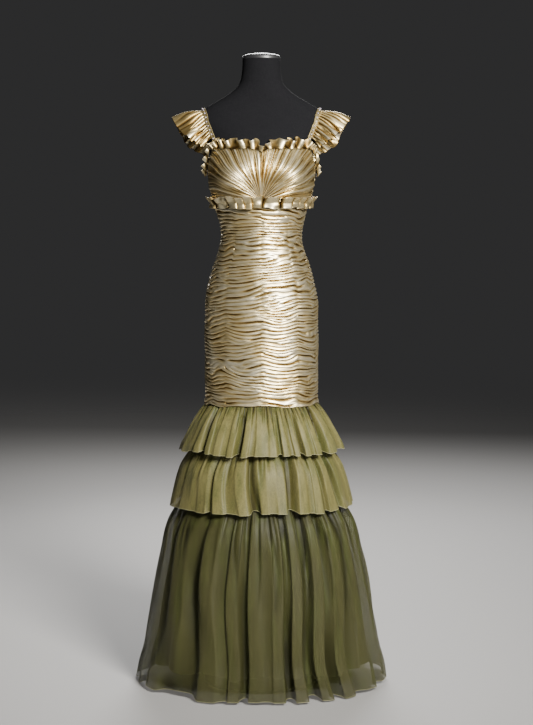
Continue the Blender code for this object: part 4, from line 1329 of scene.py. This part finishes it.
def hang_point(rows, turn, height, out):
    """A point of a skirt layer, out metres outside its middle's inner face: two half ellipses a height."""
    half_width = smooth_curve(rows, "half_width", height)
    return oval_point(
        turn,
        half_width + out,
        half_width * smooth_curve(rows, "front_share", height) + out,
        half_width * smooth_curve(rows, "back_share", height) + out,
        height,
    )


hem_wide, seam_wide = 2000 * TIER_LONG[0].half_width, 2000 * TIER_LONG[-1].half_width
print(f"the long tier is {seam_wide:.0f} mm wide at its seam and {hem_wide:.0f} mm at its hem")

# %% The front's folds

Fold = namedtuple("Fold", "turn depth")
FOLDS_TOP = [
    Fold(-84, 1.0), Fold(-68, 0.9), Fold(-54, 1.1), Fold(-43, 0.9), Fold(-33, 0.8), Fold(-22, 1.1),
    Fold(-11, 1.1), Fold(-2, 0.7), Fold(7, 0.7), Fold(16, 1.0), Fold(25, 0.9), Fold(34, 0.9),
    Fold(45, 1.1), Fold(60, 1.1), Fold(80, 1.0),
]
FOLDS_MIDDLE = [
    Fold(-80, 0.9), Fold(-62, 0.8), Fold(-43, 0.9), Fold(-29, 1.1), Fold(-13, 1.2), Fold(1, 0.8),
    Fold(13, 0.9), Fold(29, 1.2), Fold(39, 0.8), Fold(50, 0.9), Fold(64, 1.0), Fold(82, 0.9),
]
FOLDS_LONG = [
    Fold(-78, 0.8), Fold(-54, 0.9), Fold(-28, 1.2), Fold(-14, 1.0), Fold(-4, 0.6), Fold(8, 0.9),
    Fold(18, 0.9), Fold(31, 1.1), Fold(44, 1.1), Fold(62, 0.9), Fold(82, 0.8),
]
VALLEYS_TOP = (0.25, 0.3, 1.1, 0.35, 0.25, 1.15, 0.3, 0.2, 0.7, 0.3, 1.1, 0.3, 1.1, 0.25)
VALLEYS_MIDDLE = (0.15, 0.2, 0.6, 0.35, 1.2, 0.2, 1.2, 0.2, 1.1, 0.9, 0.2)
VALLEYS_LONG = (0.6, 0.9, 0.4, 1.2, 0.3, 1.0, 1.2, 0.9, 0.5, 0.7)
VALLEYS_BACK = (0.6, 1.1, 0.35, 0.9, 0.5, 1.2, 0.4, 1.0, 0.3, 0.8, 1.1)

print(f"folds in front: {len(FOLDS_TOP)}, {len(FOLDS_MIDDLE)} and {len(FOLDS_LONG)}")


# %% Folds all round

def all_folds(front, back_count):
    """The front's crests and the back's, in order of turn, with the back's spread evenly."""
    gap = (front[0].turn + 360.0 - front[-1].turn) / (back_count + 1)
    back = [
        Fold(front[-1].turn + gap * (i + 1), 0.95 + 0.15 * (-1) ** i) for i in range(back_count)
    ]
    return sorted(front + [Fold((f.turn + 180.0) % 360.0 - 180.0, f.depth) for f in back])


def fold_turns(folds, phase):
    """The turn and depth at a phase: smooth curves through the crests, which are at whole numbers."""
    count = len(folds)
    whole = np.arange(-2, count + 3)
    turns = np.array([folds[i % count].turn + 360.0 * (i // count) for i in whole])
    depths = np.array([folds[i % count].depth for i in whole])
    Row = namedtuple("Row", "phase turn depth")
    rows = [Row(*values) for values in zip(whole, turns, depths)]
    return smooth_curve(rows, "turn", phase), smooth_curve(rows, "depth", phase)


def valley_depths(folds, front, front_valleys, phase):
    """How deep the valley is at a phase: a smooth curve through values at the halves, where valleys are."""
    start = folds.index(front[0])
    known = dict(zip(range(start, start + len(front_valleys)), front_valleys))
    count = len(folds)
    Valley = namedtuple("Valley", "phase depth")
    rows = [
        Valley(i + 0.5, known.get(i % count, VALLEYS_BACK[i % count % len(VALLEYS_BACK)]))
        for i in range(-3, count + 3)
    ]
    return smooth_curve(rows, "depth", phase)


def seam_row(height, clearance):
    """A layer's first row: the lining's outline at that height, a clearance larger all round."""
    half_width = smooth_curve(LINING, "half_width", height) + clearance
    front = smooth_curve(LINING, "half_width", height) * smooth_curve(LINING, "front_share", height)
    back = smooth_curve(LINING, "half_width", height) * smooth_curve(LINING, "back_share", height)
    return Hang(
        float(height), float(half_width), float((front + clearance) / half_width),
        float((back + clearance) / half_width), 0.0,
    )

print("folds round the long tier:", len(all_folds(FOLDS_LONG, 9)))


# %% The lining

LINING_STEPS, LINING_ROWS, LINING_BACK_FOLDS = 12, 45, 9
LINING_HEM, LINING_HEM_DRIFT = 0.022, 0.006


def make_lining():
    """The opaque underskirt: its outline moved out by a cosine over the folds, which grows downwards."""
    folds = all_folds(FOLDS_LONG, LINING_BACK_FOLDS)
    phase = (np.arange(len(folds) * LINING_STEPS) / LINING_STEPS)[None, :]
    turn, depth = fold_turns(folds, phase)
    down = np.linspace(0.0, 1.0, LINING_ROWS)[:, None]
    drift_at_hem = LINING_HEM_DRIFT * round_drift(132, turn, 0 * turn, 14.0, 1.0)
    bottom = LINING[0].height + LINING_HEM + drift_at_hem
    height = LINING[-1].height + (bottom - LINING[-1].height) * down
    wave = np.cos(2 * np.pi * phase)
    soft = round_drift(131, turn, height, 9.0, 0.2)
    out = smooth_curve(LINING, "wave", height) * (depth * wave) + 0.0006 * soft * ease((0.5 - height) / 0.2)
    middle = hang_point(LINING, turn, height, out + 0.0009)
    # Painted shade: lighter on the folds' crests and darker in their valleys, low down.
    mark = np.clip(0.55 + 0.40 * wave * ease((0.55 - height) / 0.2) + 0.08 * soft, 0.0, 1.0)
    piece = thin_cloth("skirt_lining_cloth", middle, 0.0010, lining_cloth, "lining", closed=True, ridge=mark)
    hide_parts("skirt_lining")

make_lining()

# %% A tier

Tier = namedtuple("Tier", "name node rows seam folds valleys back_folds steps row_count narrow seed")
TIERS = [
    Tier(
        "tier_top_cloth", "tier_top", TIER_TOP, 0.7735, FOLDS_TOP, VALLEYS_TOP,
        back_folds=10, steps=26, row_count=26, narrow=2.0, seed=101,
    ),
    Tier(
        "tier_middle_cloth", "tier_middle", TIER_MIDDLE, 0.6800, FOLDS_MIDDLE, VALLEYS_MIDDLE,
        back_folds=9, steps=30, row_count=28, narrow=2.6, seed=111,
    ),
    Tier(
        "tier_long_cloth", "tier_long", TIER_LONG, 0.5400, FOLDS_LONG, VALLEYS_LONG,
        back_folds=9, steps=32, row_count=60, narrow=2.8, seed=121,
    ),
]
HEM_RISE, HEM_DRIFT = 0.0070, 0.0030
Gather = namedtuple("Gather", "per_fold depth length")
GATHERS = [Gather(2, 0.0036, 0.50), Gather(4, 0.0034, 0.34), Gather(8, 0.0020, 0.12)]


def make_tier(tier):
    """A gathered tier: out by the folds' wave, whose valleys a power narrows, less the fading gathers."""
    folds = all_folds(tier.folds, tier.back_folds)
    columns = len(folds) * tier.steps
    phase = (np.arange(columns) / tier.steps)[None, :]
    turn, depth = fold_turns(folds, phase)
    rows = tier.rows + [seam_row(tier.seam, CLOTH_GAP)]
    down = np.linspace(0.0, 1.0, tier.row_count + 1)[:, None] ** 1.1
    tall = tier.seam - rows[0].height
    fall = down * tall
    wander = 0.20 * round_drift(tier.seed, turn, fall, 28.0, 0.22) * down
    leaning = np.tanh(2 * round_drift(tier.seed + 3, turn, 0 * turn, 26.0, 1.0))
    lean = 0.11 * leaning * np.sin(np.pi * phase) ** 2
    wave = np.cos(2 * np.pi * (phase + wander + lean))
    uneven = valley_depths(folds, tier.folds, tier.valleys, phase + wander + lean)
    uneven = uneven * np.clip(0.95 + 0.25 * round_drift(tier.seed + 4, turn, fall, 14.0, 0.20), 0.4, 1.3)
    valley = np.clip(uneven, 0.1, 1.25) * ((1.0 - wave) / 2.0) ** tier.narrow
    broad = 1.0 - 2.0 * valley
    soft = round_drift(tier.seed + 1, turn, fall, 9.0, 0.14)
    wave_size = smooth_curve(rows, "wave", tier.seam - fall) * depth
    out = wave_size * np.where(broad > 0, 0.8 * broad, broad) + 0.0026 * soft * down**0.5
    creases = 0.0
    for i, gather in enumerate(GATHERS):
        uneven_phase = (phase + wander) * gather.per_fold + 0.5
        size = 30.0 / gather.per_fold
        uneven_phase = uneven_phase + 0.45 * round_drift(tier.seed + 10 + i, turn, fall, size, 0.25)
        reach = round_drift(tier.seed + 20 + i, turn, 0 * turn, 14.0 / gather.per_fold, 1.0)
        length = tall * gather.length * np.clip(0.75 + 0.65 * reach, 0.12, 1.6)
        fade = ease(fall / 0.004) * ease(1.6 - 1.3 * fall / length)
        crease = (1.0 - crease_profile(uneven_phase)) * fade
        creases = creases + crease * (1.0, 0.8, 0.55)[i]
        out = out - gather.depth * crease * ease(fall / 0.05 + 0.35)
    out = np.maximum(out, -1.0 * wave_size - 0.0012)
    edge = round_drift(tier.seed + 2, turn, down * 0, 13.0, 1.0)
    hem = rows[0].height + HEM_RISE * valley[-1:] + HEM_DRIFT * (edge + 1.6)
    height = tier.seam + (hem - tier.seam) * down
    pitch = 360.0 / len(folds)
    swing = 0.045 * pitch * np.clip(wave_size / 0.012, 0.0, 1.2) * np.sin(4 * np.pi * (phase + wander))
    middle = hang_point(rows, turn + swing, height, out + 0.0009)
    # Painted shade: lighter on the broad crests, darker in the valleys and in the gathers' creases.
    mark = 0.66 + 0.30 * broad * ease(down * 2.5) + 0.08 * soft - 0.62 * creases
    cloth = long_chiffon_with_painted_shade if tier.node == "tier_long" else tier_chiffon
    piece = thin_cloth(
        tier.name, middle, CLOTH, cloth, "chiffon", closed=True, ridge=np.clip(mark, 0.0, 1.0)
    )
    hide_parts(tier.node)
    hem_line = middle[-1] - np.array([0.0, 0.0, 0.0004])
    hem_piece = tube(f"{tier.name}_hem", hem_line, HEM_RADIUS, hem_cloth, sides=6, closed=True)

for tier in TIERS:
    make_tier(tier)

# %% [markdown]
# ## Floor, light and camera
#
# The gown is lit as in a display case: a large soft lamp in front, above and to the right, and little
# light from elsewhere, so that the folds cast clear shade and the sides fall off. Two lamps behind it
# light the back alone. The lamps are discs, because a wide lamp gives soft edges, and each is aimed by
# the angle of its way to the target. A narrow beam keeps the floor from throwing much light back. The
# floor fades out far away, so that no horizon cuts the picture. The camera stands at chest height and
# looks a little down, with a long lens.

# %% Floor

FLOOR_HALF, FADE_FROM, FADE_TO = 12.0, 2.5, 9.0


def make_floor():
    """A pale floor whose alpha falls from 1 to 0 with the distance from its middle."""
    mesh = bpy.data.meshes.new("studio_floor")
    corners = [(x * FLOOR_HALF, y * FLOOR_HALF, 0.0) for x, y in ((-1, -1), (1, -1), (1, 1), (-1, 1))]
    mesh.from_pydata(corners, [], [(0, 1, 2, 3)])
    floor = bpy.data.objects.new("studio_floor", mesh)
    bpy.context.scene.collection.objects.link(floor)
    material, tree, shader = new_material("pale_floor", 0.75)
    shader.inputs["Base Color"].default_value = (0.46, 0.45, 0.44, 1.0)
    place = add_node(tree, "ShaderNodeTexCoord").outputs["Object"]
    far = add_node(tree, "ShaderNodeVectorMath", {0: place}, operation="LENGTH").outputs["Value"]
    fade = add_node(
        tree, "ShaderNodeMapRange",
        {"Value": far, "From Min": FADE_FROM, "From Max": FADE_TO, "To Min": 1.0, "To Max": 0.0},
        interpolation_type="SMOOTHSTEP",
    )
    tree.links.new(fade.outputs["Result"], shader.inputs["Alpha"])
    mesh.materials.append(material)

make_floor()


# %% Lamps
def add_light(name, place, target, size, power, colour=(1.0, 1.0, 1.0), beam=180.0):
    """A round lamp aimed at a point: tilted by the angle off straight down, and turned to face it.

    beam is how wide the light fans out, in degrees, as with a grid in front of a soft box.
    """
    data = bpy.data.lights.new(name, "AREA")
    data.shape = "DISK"
    data.size = size
    data.energy = power
    data.color = colour
    data.spread = np.radians(beam)
    light = bpy.data.objects.new(name, data)
    light.location = place
    way = np.array(target, float) - np.array(place, float)
    light.rotation_euler = (
        np.arctan2(np.hypot(way[0], way[1]), -way[2]), 0.0, np.arctan2(way[0], -way[1]) + np.pi,
    )
    bpy.context.scene.collection.objects.link(light)
    print(f"lamp {name}: {power:.0f} W, {size} m across")


add_light("key", (1.45, -3.0, 2.6), (0.0, 0.0, 1.25), 1.3, 70.0, (1.0, 0.98, 0.94), beam=70.0)
add_light("fill", (-3.0, -3.2, 1.5), (0.0, 0.0, 0.9), 2.4, 2.0, (0.90, 0.95, 1.0))
add_light("overhead", (0.0, -0.6, 4.4), (0.0, 0.0, 0.0), 3.0, 12.0)
add_light("back", (0.4, 3.4, 3.0), (0.0, 0.0, 1.0), 1.6, 120.0)
add_light("back_low", (-0.4, 3.4, 2.2), (0.0, 0.0, 0.4), 1.4, 16.0, beam=100.0)

world = bpy.data.worlds.new("studio")
bpy.context.scene.world = world
world.use_nodes = True
surround = world.node_tree.nodes["Background"]
surround.inputs["Color"].default_value = (0.62, 0.62, 0.63, 1.0)
surround.inputs["Strength"].default_value = 0.05

# %% Camera

CAMERA_DISTANCE, CAMERA_HEIGHT, CAMERA_SIDE, CAMERA_DOWN = 4.656, 1.32, 0.0137, 5.39
CAMERA_LENS, CAMERA_SENSOR = 85.0, 36.0

camera_data = bpy.data.cameras.new("camera")
camera_data.lens = CAMERA_LENS
camera_data.sensor_width = CAMERA_SENSOR
camera = bpy.data.objects.new("camera", camera_data)
camera.location = (CAMERA_SIDE, -CAMERA_DISTANCE, CAMERA_HEIGHT)
camera.rotation_euler = (np.radians(90.0 - CAMERA_DOWN), 0.0, 0.0)
bpy.context.scene.collection.objects.link(camera)
bpy.context.scene.camera = camera

print(f"camera {CAMERA_DISTANCE} m away, {CAMERA_HEIGHT} m up")
